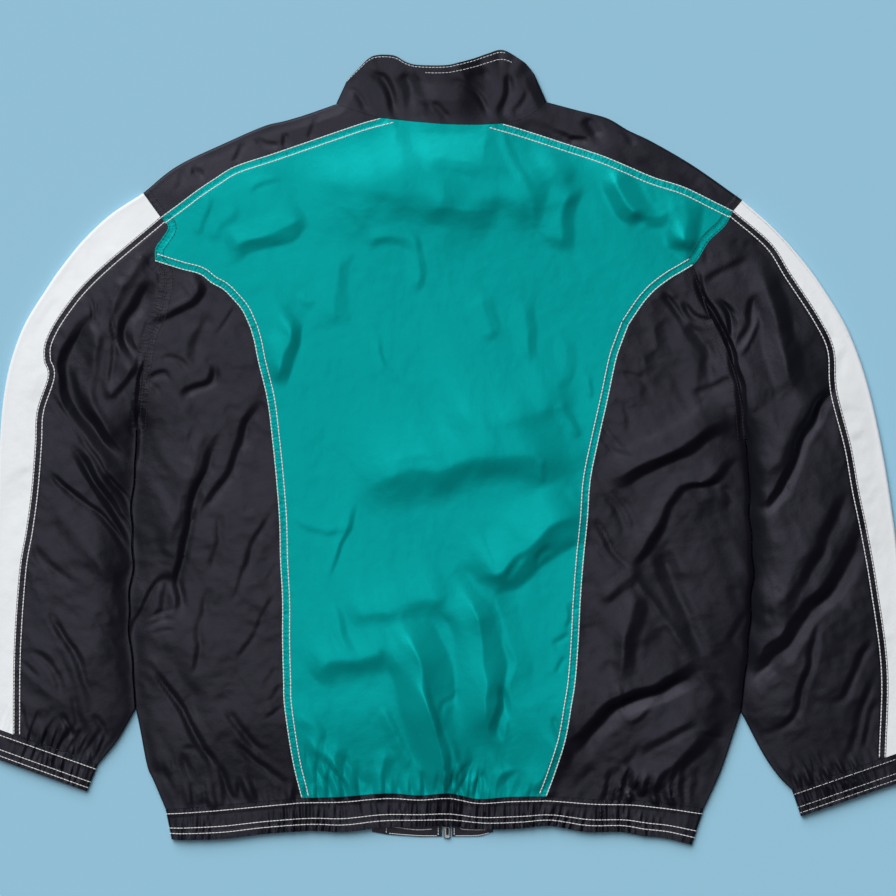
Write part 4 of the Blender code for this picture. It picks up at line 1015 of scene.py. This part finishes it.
# ------------------------------------------------------------- the finishes
class Value:
    """A socket of a material; + - * on it add Math nodes to the tree."""

    def __init__(self, tree, socket):
        self.tree, self.socket = tree, socket

    def node(self, kind, settings, inputs, output=0):
        """The output of a new node: its settings first, then the values or links of its sockets."""
        new = self.tree.nodes.new(kind)
        for key, setting in settings.items():
            setattr(new, key, setting)
        for key, value in inputs.items():
            if isinstance(value, Value):
                self.tree.links.new(value.socket, new.inputs[key])
            else:
                new.inputs[key].default_value = value
        return Value(self.tree, new.outputs[output])

    def math(self, operation, *values):
        """A Math node on this value and any more."""
        return self.node("ShaderNodeMath", {"operation": operation}, dict(enumerate((self, *values))))

    def mix(self, factor, one, other):
        """Colour between one and other."""
        colours = {0: factor, 6: (*one, 1), 7: (*other, 1)}
        return self.node("ShaderNodeMix", {"data_type": "RGBA"}, colours, 2)

    def noise(self, scale, detail=2.0, rough=0.5):
        """Noise at this place."""
        return self.node("ShaderNodeTexNoise", {}, {"Vector": self, "Scale": scale,
                                                    "Detail": detail, "Roughness": rough})

    def axis(self, index):
        """One part of this place."""
        return self.node("ShaderNodeSeparateXYZ", {}, {0: self}, index)

    def attribute(self, name):
        """An attribute of the piece's points."""
        return self.node("ShaderNodeAttribute", {"attribute_name": name}, {}, 2)

    def __add__(self, other):
        return self.math("ADD", other)

    def __sub__(self, other):
        return self.math("SUBTRACT", other)

    def __rsub__(self, other):
        return self.node("ShaderNodeMath", {"operation": "SUBTRACT"}, {0: other, 1: self})

    def __mul__(self, other):
        return self.math("MULTIPLY", other)

    __radd__, __rmul__ = __add__, __mul__


def finish(name, **constants):
    """A new material with some sockets of its shader set; gives it, its object
    coordinates and its shader."""
    material = bpy.data.materials.new(name)
    material.use_nodes = True
    tree = material.node_tree
    shader = tree.nodes["Principled BSDF"]
    for key, value in constants.items():
        shader.inputs[key.replace("_", " ")].default_value = value
    place = Value(tree, tree.nodes.new("ShaderNodeTexCoord").outputs["Object"])
    return material, place, shader


def dress(shader, tone, rough, high, deep, strength):
    """Link a colour, a roughness and a bump of that height, deep metres for 1, to the shader."""
    bump = tone.node("ShaderNodeBump", {}, {"Height": high, "Distance": deep, "Strength": strength})
    for key, value in (("Base Color", tone), ("Roughness", rough), ("Normal", bump)):
        tone.tree.links.new(value.socket, shader.inputs[key])


def nylon(name, colour, deep, rough, puckers=0.0, **constants):
    """Light plain-woven nylon: sin x * sin y as its weave, a fine crinkle, an uneven sheen.

    Beside the seams that mark_seams() gave it, puckers run square from them.
    """
    material, place, shader = finish(name, **constants)
    wide, fine = place.noise(7.0, 3.0), place.noise(420.0)
    tone = place.mix(wide * 0.7 + fine * 0.25, colour, deep)
    threads = 7400.0        # a ridge each 0.85 mm
    weave = (place.axis(0) * threads).math("SINE") * (place.axis(1) * threads).math("SINE")
    high = place.noise(95.0, 4.0, 0.62) * 0.55 + fine * 0.04 + weave * 0.015
    if puckers:
        off, along = place.attribute("seam_off"), place.attribute("seam_along")
        way = place.node("ShaderNodeCombineXYZ", {}, {"X": along * 0.32, "Y": off * 0.08})
        band = place.node("ShaderNodeMapRange", {"interpolation_type": "SMOOTHSTEP"},
                          {"Value": off, "From Min": 5.0, "From Max": 9.5, "To Min": 1.0, "To Max": 0.0})
        high = high + way.noise(1.0, 3.0, 0.6) * band * puckers
    dress(shader, tone, rough + (wide - 0.5) * 0.12, high, 0.001, 0.5)
    return material


def thread(name, colour):
    """Twisted thread: a fine grain in its height, tone and sheen."""
    material, place, shader = finish(name, Specular_IOR_Level=0.4)
    grain = place.noise(900.0)
    tone = place.mix(grain * 0.4, colour, [0.6 * c for c in colour])
    dress(shader, tone, 0.5 + grain * 0.2, grain, 0.0004, 0.5)
    return material


def worn_metal(name, bright, dull):
    """Grey zip metal with a fine grain of wear."""
    material, place, shader = finish(name, Metallic=1.0)
    wear = place.noise(600.0, 3.0)
    dress(shader, place.mix(wear, bright, dull), 0.3 + wear * 0.2, wear, 0.0003, 0.4)
    return material


def woven_tape(name, colour):
    """Zip tape: ribs 0.8 mm apart along it and 1.2 mm apart across, sin x + sin y / 2."""
    material, place, shader = finish(name, Specular_IOR_Level=0.3)
    grain = place.noise(300.0)
    rib = (place.axis(0) * 7850.0).math("SINE") + (place.axis(1) * 5200.0).math("SINE") * 0.5
    tone = place.mix(grain, colour, [0.55 * c for c in colour])
    dress(shader, tone, 0.75 + grain * 0.1, rib, 0.0003, 0.4)
    return material


TEAL = nylon("teal_nylon", (0.001, 0.25, 0.247), (0.0005, 0.215, 0.213), 0.36, 2.4,
             Specular_IOR_Level=1.0, Specular_Tint=(0.01, 1.0, 0.98, 1))
BLACK = nylon("black_nylon", (0.005, 0.005, 0.009), (0.003, 0.003, 0.006), 0.38, 1.3,
              Specular_IOR_Level=0.28, Specular_Tint=(0.82, 0.80, 1.0, 1))
WHITE = nylon("white_nylon", (0.82, 0.85, 0.875), (0.74, 0.77, 0.80), 0.5)
WHITE_THREAD = thread("white_thread", (0.85, 0.86, 0.86))
TEAL_THREAD = thread("dark_green_thread", (0.004, 0.10, 0.10))
BLACK_THREAD = thread("black_thread", (0.012, 0.012, 0.018))
TAPE = woven_tape("zip_tape", (0.02, 0.02, 0.024))
METAL = worn_metal("zip_metal", (0.40, 0.40, 0.41), (0.20, 0.20, 0.21))


# ------------------------------------------------------------- the pieces
INSIDE = {"L": 1, "R": -1}      # the garment's middle is to the left of a seam's way, or to the right
# twin rows of stitches: distances off the seam
TWIN = {"back": (0.9, 7.8), "wing_end": (1.6, 8.4), "stripe": (0.9, 6.6), "arm": (2.0, 8.0),
        "yoke_end": (1.5, 7.0)}
PLAIN, THIN, BAND = 1.1, 0.8, 0.95      # thickness of white stitches, dark ones and those on the bands
COLLAR_LAYERS, HEM_LAYERS, CUFF_LAYERS = 31, 23, 21
HEM_CELLS, CUFF_CELLS = 480, 67         # across the back of each
# rows of stitches: shares of the way down each band
COLLAR_ROWS, HEM_ROWS, CUFF_ROWS = (0.965, 0.87), (0.15, 0.62, 0.80), (0.18, 0.66, 0.87)


def stands_for(obj, node):
    """Ride on the garment and stand for a node, whose own part is hidden."""
    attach(obj, "garment")
    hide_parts(node)


def cloth(obj, node, seams=()):
    """Mark a panel's seams and let it stand for its node."""
    mark_seams(obj, seams)
    stands_for(obj, node)


def panel_with_fold(name, rows, depth, cells, material, start=0, **fold):
    """A panel whose rows, from start on, go round the folded edge.

    Above start the panel ends at its seam, so the shell is two grids that
    share the line of fold points.
    """
    top, low, floor = folded(rows, depth, cells, start=start, **fold)
    if start == 0:
        return shell(name, *(odd(np.concatenate(pair, 1)) for pair in zip(top, low)), material), floor
    obj = shell(name, *top, material)
    turns = (odd(np.concatenate([t[start:, -1:], l[start:]], 1)) for t, l in zip(top, low))
    edge = shell(name + "_edge", *turns, material)
    with bpy.context.temp_override(active_object=obj, selected_editable_objects=[obj, edge]):
        bpy.ops.object.join()
    return obj, floor[start:]


def parting(pressed, cells):
    """How far a folded edge stands off its line: half of CREASE_GAP where sleeve and
    body are pressed together, and from there evenly down to nothing."""
    return np.concatenate([np.full(pressed, CREASE_GAP / 2), np.linspace(CREASE_GAP / 2, 0, cells + 1)])


def side_pieces(side):
    """Yoke, stripe, side back and sleeve back of one side, and their rows of stitches.

    Gives the plan lines on the floor where the lower layer meets them.
    """
    def seam(name):
        """This side's line of that name."""
        return LINE[name + "_" + side]

    inside = INSIDE[side]
    floor = {}
    pressed_edge = {"shared": (False, True), "bend": SIDE_BEND}

    rows = patch(seam("yoke"), seam("shoulder"), seam("neck")[::-inside], seam("yoke_end"))
    obj, floor["yoke"] = panel_with_fold("yoke_" + side, rows, FRONT_WRAP, 10, BLACK)
    cloth(obj, "yoke_" + side, [seam("yoke_end")])

    foot = np.linspace(seam("cuff")[0], seam("sleeve")[-1], 21)
    rows = patch(seam("stripe"), seam("sleeve"), seam("yoke_end"), foot)
    obj, floor["stripe"] = panel_with_fold("stripe_" + side, rows, FRONT_WRAP, 10, WHITE)
    cloth(obj, "stripe_" + side)

    arm, crease, body = SEAMS["arm_L"][0], EDGES["crease_L"][0], EDGES["body_L"][0]
    outer = run("arm_" + side, "crease_" + side, "body_" + side)
    left = even(seam("side"), len(outer) - 1)
    rows = patch(left, outer, even(seam("wing")[::-1], 60), seam("hem")[::-inside])
    obj, floor["body"] = panel_with_fold("side_back_" + side, rows, SIDE_WRAP, 3, BLACK, start=arm,
                                         apart=parting(crease, body), **pressed_edge)
    cloth(obj, "side_back_" + side,
          [seam("arm")] if side == "L" else [])

    # the sleeve back's top follows the wing's end and half the armhole, its side the rest
    half = arm // 2
    arm_cells, crease_cells, under_cells = 50, 160, 40
    outer = np.vstack([even(seam("arm")[half:], arm_cells), even(seam("crease"), crease_cells)[1:],
                       even(seam("under"), under_cells)[1:]])
    top = np.vstack([even(seam("wing_end"), 24), even(seam("arm")[:half + 1], 36)[1:]])
    rows = patch(seam("stripe"), outer, top, seam("cuff"))
    obj, floor["sleeve"] = panel_with_fold("sleeve_back_" + side, rows, SIDE_WRAP, 3, BLACK,
                                           start=arm_cells, apart=parting(crease_cells, under_cells),
                                           **pressed_edge)
    cloth(obj, "sleeve_back_" + side,
          [seam("stripe")] + [seam("arm")] * (side == "L"))

    for name, line, facing, material, thick in (
            ("stitching_sleeve_", "stripe", inside, WHITE_THREAD, PLAIN),
            ("stitching_armhole_", "arm", inside, BLACK_THREAD, THIN),
            ("stitching_yoke_end_", "yoke_end", -inside, BLACK_THREAD, THIN)):
        rows = [on_cloth(seam(line), facing * off) for off in TWIN[line]]
        stitches(name + side, rows, material, thick=thick)
    return floor


def centre_back():
    """Teal back with its wings and its double rows of stitches."""
    left = run("wing_end_L", "wing_L", "side_L")
    right = run("wing_end_R", "wing_R", "side_R")
    top = run("-yoke_L", "neck", "yoke_R")
    foot = even(LINE["hem"], len(top) - 1)
    rows = patch(left, right, top, foot, bow_top=2.4)
    obj = shell("centre_back", *upper(inset(rows, *(GAP / 2,) * 4)), TEAL)
    seams = [LINE[name + side] for name in ("yoke_", "wing_", "side_", "wing_end_") for side in "LR"]
    cloth(obj, "centre_back", seams)
    rows, dark = [], []
    for side, inside in INSIDE.items():
        for name in ("yoke_", "wing_", "side_"):
            rows += [on_cloth(LINE[name + side], inside * off) for off in TWIN["back"]]
        # the inner row runs on for 12 mm, up to the collar
        yoke = LINE["yoke_" + side]
        on = yoke[0] + (yoke[0] - yoke[4]) / np.linalg.norm(yoke[0] - yoke[4]) * 12
        rows.append(on_cloth(np.array([on, yoke[0]]), inside * TWIN["back"][1]))
        dark += [on_cloth(LINE["wing_end_" + side], inside * off) for off in TWIN["wing_end"]]
    stitches("stitching_back", rows, WHITE_THREAD, thick=PLAIN)
    stitches("stitching_wing_ends", dark, TEAL_THREAD, thick=THIN)


def zip_side(sign, down):
    """Point on the edge of the zip's opening; sign is -1 for the left."""
    return at((ZIP_ACROSS + sign * ZIP_OPEN, down))


def beside_zip(sign, down):
    """Point BESIDE the zip; sign is -1 for the left."""
    return at((ZIP_ACROSS + sign * BESIDE, down))


def courses(seam, end, count, inwards):
    """Shares v from 0 to 1 with the lines (1 - v) * seam + v * end; the first is
    drawn in by half of GAP, to its left where inwards is 1."""
    for v in np.linspace(0, 1, count):
        line = seam * (1 - v) + end * v
        yield v, line + inwards * normal(line) * GAP / 2 if v == 0 else line


def collar():
    """Stand collar: the back over the front, open at the zip.

    Its layers go from the neck seam to the top; on the floor each goes back
    from the fold, then to the zip.
    """
    seam = run("neck_L", "neck", "neck_R")
    layers = []
    for v, line in courses(seam, smooth(COLLAR_TOP, len(seam) - 1), COLLAR_LAYERS, 1):
        top = even(line, len(line) - 1, BEND)
        floors = []
        for sign, end, prev in ((-1, top[0], top[1]), (1, top[-1], top[-2])):
            back = end + (prev - end) / np.linalg.norm(prev - end) * FRONT_WRAP * (1 - 0.75 * v)
            middle = beside_zip(sign, NECK_BESIDE) * (1 - v) + beside_zip(sign, TOP_BESIDE) * v
            stop = zip_side(sign, NECK_AT_ZIP) * (1 - v) + zip_side(sign, TOP_AT_ZIP) * v
            if v == 0:
                middle, stop = middle + (0, GAP / 2), stop + (0, GAP / 2)
            floors.append(even(np.vstack([end, back, middle, stop]), 40)[1:])
        layers.append((floors[0], top, floors[1]))
    outer, inner = (odd(g) for g in ring(layers))
    obj = shell("collar", outer, inner, BLACK)
    cloth(obj, "collar")
    edge, lower = (on_grid(outer, share) for share in COLLAR_ROWS)
    rows = [between(edge, -110, 58), between(lower, -24, 64)]
    stitches("stitching_collar", rows, WHITE_THREAD, thick=PLAIN)


def hem_floor(line, side, stop):
    """Points of a hem line on the floor, from the fold to stop."""
    sign = INSIDE[side]
    line = line[::sign]
    inside = line[(line[:, 0] - stop) * sign < -1]
    way = inside[-1] - inside[-2]
    return even(np.vstack([inside[1:], inside[-1] + way * (stop - inside[-1][0]) / way[0]]), 96)


def hem_band():
    """Elasticated hem: across the back, round both ends, to the flat tabs."""
    seam = even(run("hem_L", "hem", "hem_R"), HEM_CELLS)
    foot = smooth(HEM_FOOT, HEM_CELLS)
    layers = []
    for _, line in courses(seam, foot, HEM_LAYERS, -1):
        floors = [hem_floor(line, side, TAB_FROM[side] - SQUARE / 2 - sign * GAP)[1:]
                  for side, sign in INSIDE.items()]
        layers.append((floors[0], even(line, len(line) - 1, BEND), floors[1]))
    outer, inner = (odd(g) for g in ring(layers))
    obj = shell("hem_band", outer, inner, BLACK)
    cloth(obj, "hem_band", [seam, foot])
    stitches("stitching_hem", [on_grid(outer, share) for share in HEM_ROWS], WHITE_THREAD, thick=BAND)


def cuff(side):
    """Elasticated cuff: a whole ring, flattened, with three rows of stitches.

    Its layers are straight lines, v of the way along its two folded edges.
    """
    out, inn = LINE["cuff_out_" + side], LINE["cuff_in_" + side]
    layers = []
    for v in np.linspace(0, 1, CUFF_LAYERS):
        line = np.linspace(out[0] * (1 - v) + out[-1] * v, inn[0] * (1 - v) + inn[-1] * v, CUFF_CELLS + 1)
        if v == 0:
            n = normal(line)
            line = line + n * np.sign((n * (inn[-1] - inn[0])).sum()) * GAP / 2
        top = even(line, len(line) - 1, BEND)
        layers.append((top[:0], top, np.linspace(top[-1], top[0], 35)[1:-1]))
    outer, inner = (g if g.shape[1] % 2 == 0 else g[:, 1:] for g in ring(layers))
    obj = shell("cuff_" + side, outer, inner, BLACK, around=True)
    cloth(obj, "cuff_" + side,
          [LINE["cuff_" + side]])
    closed = np.concatenate([outer, outer[:, :1]], 1)
    rows = [on_grid(closed, share) for share in CUFF_ROWS]
    stitches("stitching_cuff_" + side, rows, WHITE_THREAD, thick=BAND)


def floor_piece(name, rows, seams=()):
    """A piece of the lower layer: its underside follows the hollows, FRONT_WALL above it is its top."""
    base = floor_height(rows)[..., None] - UNDER
    outer, inner = (np.concatenate([rows, base + z], -1) for z in (UNDER, FRONT_WALL))
    cloth(shell(name, outer, inner, BLACK), name, seams)


def fronts(side, floor):
    """Lower layer of one side: front, sleeve front and the hem's tab."""
    sign = -INSIDE[side]
    up = np.array((0, GAP / 2))
    away = np.array((sign * GAP / 2, 0))
    start = (floor["yoke"][-1] + floor["stripe"][0]) / 2
    arm = smooth([(start[0] + SQUARE / 2, CENTRE_DOWN - start[1])] + ARM_FRONT[side], 80)

    neck = np.linspace(zip_side(sign, NECK_AT_ZIP), beside_zip(sign, NECK_BESIDE), 21) - up
    hem = hem_floor(run("hem_L", "hem", "hem_R"), side, zip_side(sign, 0)[0]) + up
    top = even(np.vstack([neck, floor["yoke"]]), 120)
    outer = np.vstack([even(arm[1:] - away, 90), even(floor["body"], 220)[1:]])
    outer[0] = top[-1]
    middle = np.linspace(top[0], hem[-1], len(outer))
    rows = patch(middle, outer, top, even(hem[::-1], 120))
    floor_piece("front_" + side, rows, [arm, hem])

    inner = np.vstack([even((arm + away)[1:], 60), even(floor["sleeve"], 190)[1:]])
    outer = even(floor["stripe"], len(inner) - 1)
    rows = patch(outer, inner, np.linspace(outer[0], inner[0], 61), np.linspace(outer[-1], inner[-1], 61))
    floor_piece("sleeve_front_" + side, rows, [arm])

    edge, stop = at((TAB_FROM[side], 0))[0], zip_side(sign, 0)[0]
    x = np.linspace(edge, stop, 41)
    top = np.column_stack([x, np.interp(x, *hem[::-sign].T) - GAP])
    foot = np.column_stack([x, np.interp(x, *at(TAB_FOOT).T)])
    rows = patch(np.linspace(top[0], foot[0], 25), np.linspace(top[-1], foot[-1], 25), top, foot)
    floor_piece("hem_tab_" + side, rows)


# rows of stitches on the tabs
TAB_ROWS = [
    [(372.7, 826.5), (386, 827)],
    [(386.3, 822), (386.3, 833.4)],
    [(392, 827), (416, 830), (432, 829.4)],
    [(438.2, 822), (438.2, 835.5)],
    [(454.2, 822), (454.2, 835.5)],
    [(460.5, 825.3), (462, 829.5), (485.8, 830.2)],
    [(389, 833.6), (418, 835.8), (437, 836)],
    [(455.5, 836), (478, 835.6), (489, 833)],
]


def tab_stitches():
    """White rows that box in the ends of the hem at the zip, on both faces."""
    rows = []
    for points in TAB_ROWS:
        line = smooth(points, 12)
        for high, facing in ((FRONT_WALL, 1.0), (UNDER, -1.0)):
            flat = np.column_stack([line, floor_height(line) - UNDER + high])
            rows.append((flat, np.tile((0.0, 0.0, facing), (len(flat), 1))))
    stitches("stitching_tabs", rows, WHITE_THREAD, pitch=2.3, long=2.3, thick=0.85)


# ------------------------------------------------------------- the zip
TEETH = 480
# half of a tooth's outline: (out from its root, half width), waisted behind its head
TOOTH = np.array([(-1.15, 0.4), (0.25, 0.55), (0.9, 0.75), (1.5, 0.35)])
TOOTH_LOW, TOOTH_HIGH = 0.5, 2.9
# rings of the bottom box and of a dark slab in its slot, painted shade for the slot's recess: (inset,
# height)
BOX_RINGS = [(0.5, 0.1), (0, 0.5), (0, 2.7), (0.4, 3.1), (1.1, 3.1), (1.4, 2.8), (1.5, 1.4)]
SLOT_SHADE_RINGS = [(0.3, 1.3), (0, 1.5), (0, 2.2), (0.5, 2.6)]


def zip_lift(plan):
    """The lift of plan points beside the zip: as far as at its middle."""
    return lift(plan * (0, 1) + (ZIP_X, 0))[..., None]


def zip_tapes():
    """Ribbed tapes, flat, whose edges climb to meet behind the teeth."""
    down = np.linspace(CHAIN_TOP, CHAIN_FOOT, 253)
    out = np.array(TAPE_STOPS + (CHAIN_HALF + GAP + TAPE_WIDE,))
    climb = (1 - step(out, 2.4, 3.6))[:, None]
    for side, sign in (("L", -1), ("R", 1)):
        plan = at(np.stack(np.meshgrid(ZIP_ACROSS + sign * out, down), -1))
        base = zip_lift(plan)
        obj = shell("zip_tape_" + side, np.concatenate([plan, base + TAPE_HIGH + CLIMB_HIGH * climb], -1),
                    np.concatenate([plan, base + TAPE_LOW + CLIMB_LOW * climb], -1), TAPE)
        stands_for(obj, "zip_tape_" + side)


def zip_teeth():
    """Teeth: boxes on TOOTH's outline, by turns from the left and from the right."""
    y = np.linspace(CHAIN_TOP + 1, CHAIN_FOOT - 1, TEETH)
    sign = np.where(np.arange(TEETH) % 2, 1.0, -1.0)
    outline = np.vstack([TOOTH * (1, -1), TOOTH[::-1]])
    x = ZIP_ACROSS + sign[:, None] * (1.25 - outline[:, 0] * 0.9)
    plan = at(np.stack([x, y[:, None] + outline[:, 1]], -1))
    base = zip_lift(plan)
    points = np.stack([np.concatenate([plan, base + z], -1) for z in (TOOTH_LOW, TOOTH_HIGH)], 1)
    ids = np.arange(TEETH * 16).reshape(TEETH, 2, 8)
    loop = np.concatenate([ids, ids[:, :, :1]], 2)
    faces = []
    for where, turn in ((sign < 0, 1), (sign > 0, -1)):
        faces += [quads(loop[where], True)[:, ::turn], ids[where, 0][:, ::turn], ids[where, 1][:, ::-turn]]
    obj = joined(points.reshape(-1, 3), faces, "zip_chain", TAPE)
    stands_for(obj, "zip_chain")


def loft(name, middle, half, rings, material):
    """Closed form on a rounded oblong, one ring of points for each (inset, height).

    The outline is the middle plus half * |cos| ** 0.35 and half * |sin| ** 0.35
    of the turn, with their signs.
    """
    turn = np.linspace(0, 2 * math.pi, 28, endpoint=False)
    way = np.stack([np.cos(turn), np.sin(turn)], -1)
    way = np.sign(way) * np.abs(way) ** 0.35
    inset_by, z = np.array(rings).T
    plan = middle + (np.array(half) - inset_by[:, None, None]) * way
    points = np.concatenate([plan, np.broadcast_to(z[:, None, None], plan.shape[:2] + (1,))], -1)
    ids = np.arange(len(rings) * 28).reshape(len(rings), 28)
    faces = [quads(np.hstack([ids, ids[:, :1]])), ids[:1, ::-1], ids[-1:]]
    return joined(points.reshape(-1, 3), faces, name, material)


def zip_metal():
    """Bottom box with a dark slab in its slot, painted shade where the slot's recess lies in shadow;
    slider and pull tab are the nodes' own.
    """
    box = loft("zip_box", at((446.8, 832.7)), (3.7, 5.7), BOX_RINGS, METAL)
    stands_for(box, "zip_box")
    # a dark slab in the box's slot: painted shade for the recess
    shade_slab = loft("zip_box_slot_shade", at((447.3, 831.6)), (1.3, 3.6), SLOT_SHADE_RINGS, TAPE)
    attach(shade_slab, "garment")
    for name in ("zip_slider", "zip_pull"):
        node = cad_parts[name]
        node.data.materials.clear()
        node.data.materials.append(METAL)


# ------------------------------------------------------------- the studio
FLOOR_COLOUR = (0.304, 0.558, 0.715, 1)
CAMERA_HIGH, SEEN_AT = 7.0, 0.006   # the camera frames the square at this height, in metres
KEY_PLACE, KEY_POWER, KEY_ANGLE = (-2.2, 4.2, 4.1), 3.35, math.radians(56)
ABOVE_PLACE, ABOVE_POWER, ABOVE_SIZE = (-1.0, 0.4, 8.0), 115.0, 4.0
WORLD_POWER = 0.06


def studio():
    """Pale floor, camera straight above, key light from the upper left and a soft one above."""
    scene = bpy.context.scene
    bpy.ops.mesh.primitive_plane_add(size=8)
    floor = bpy.context.object
    floor.name = "floor"
    material, _, shader = finish("pale_floor", Roughness=0.9, Specular_IOR_Level=0.1)
    shader.inputs["Base Color"].default_value = FLOOR_COLOUR
    floor.data.materials.append(material)

    camera = bpy.data.objects.new("camera", bpy.data.cameras.new("camera"))
    scene.collection.objects.link(camera)
    camera.location = (0, (CENTRE_DOWN - SQUARE / 2) * MM, CAMERA_HIGH)
    camera.data.lens = camera.data.sensor_width * (CAMERA_HIGH - SEEN_AT) / (SQUARE * MM)
    scene.camera = camera

    key = bpy.data.lights.new("key", "SUN")
    key.energy, key.angle = KEY_POWER, KEY_ANGLE
    above = bpy.data.lights.new("above", "AREA")
    above.energy, above.size = ABOVE_POWER, ABOVE_SIZE
    for data, place in ((key, KEY_PLACE), (above, ABOVE_PLACE)):
        light = bpy.data.objects.new(data.name, data)
        scene.collection.objects.link(light)
        light.location = place
        # the lamp shines down its own -Z, turned to the middle of the floor
        x, y, z = place
        light.rotation_euler = (math.atan2(math.hypot(x, y), z), 0, math.atan2(x, -y))
    world = bpy.data.worlds.new("studio")
    world.use_nodes = True
    background = world.node_tree.nodes["Background"]
    background.inputs["Color"].default_value = (1, 1, 1, 1)
    background.inputs["Strength"].default_value = WORLD_POWER
    scene.world = world
    scene.view_settings.view_transform = "Standard"


studio()
centre_back()
for SIDE in "LR":
    fronts(SIDE, side_pieces(SIDE))
    cuff(SIDE)
collar()
hem_band()
tab_stitches()
zip_tapes()
zip_teeth()
zip_metal()
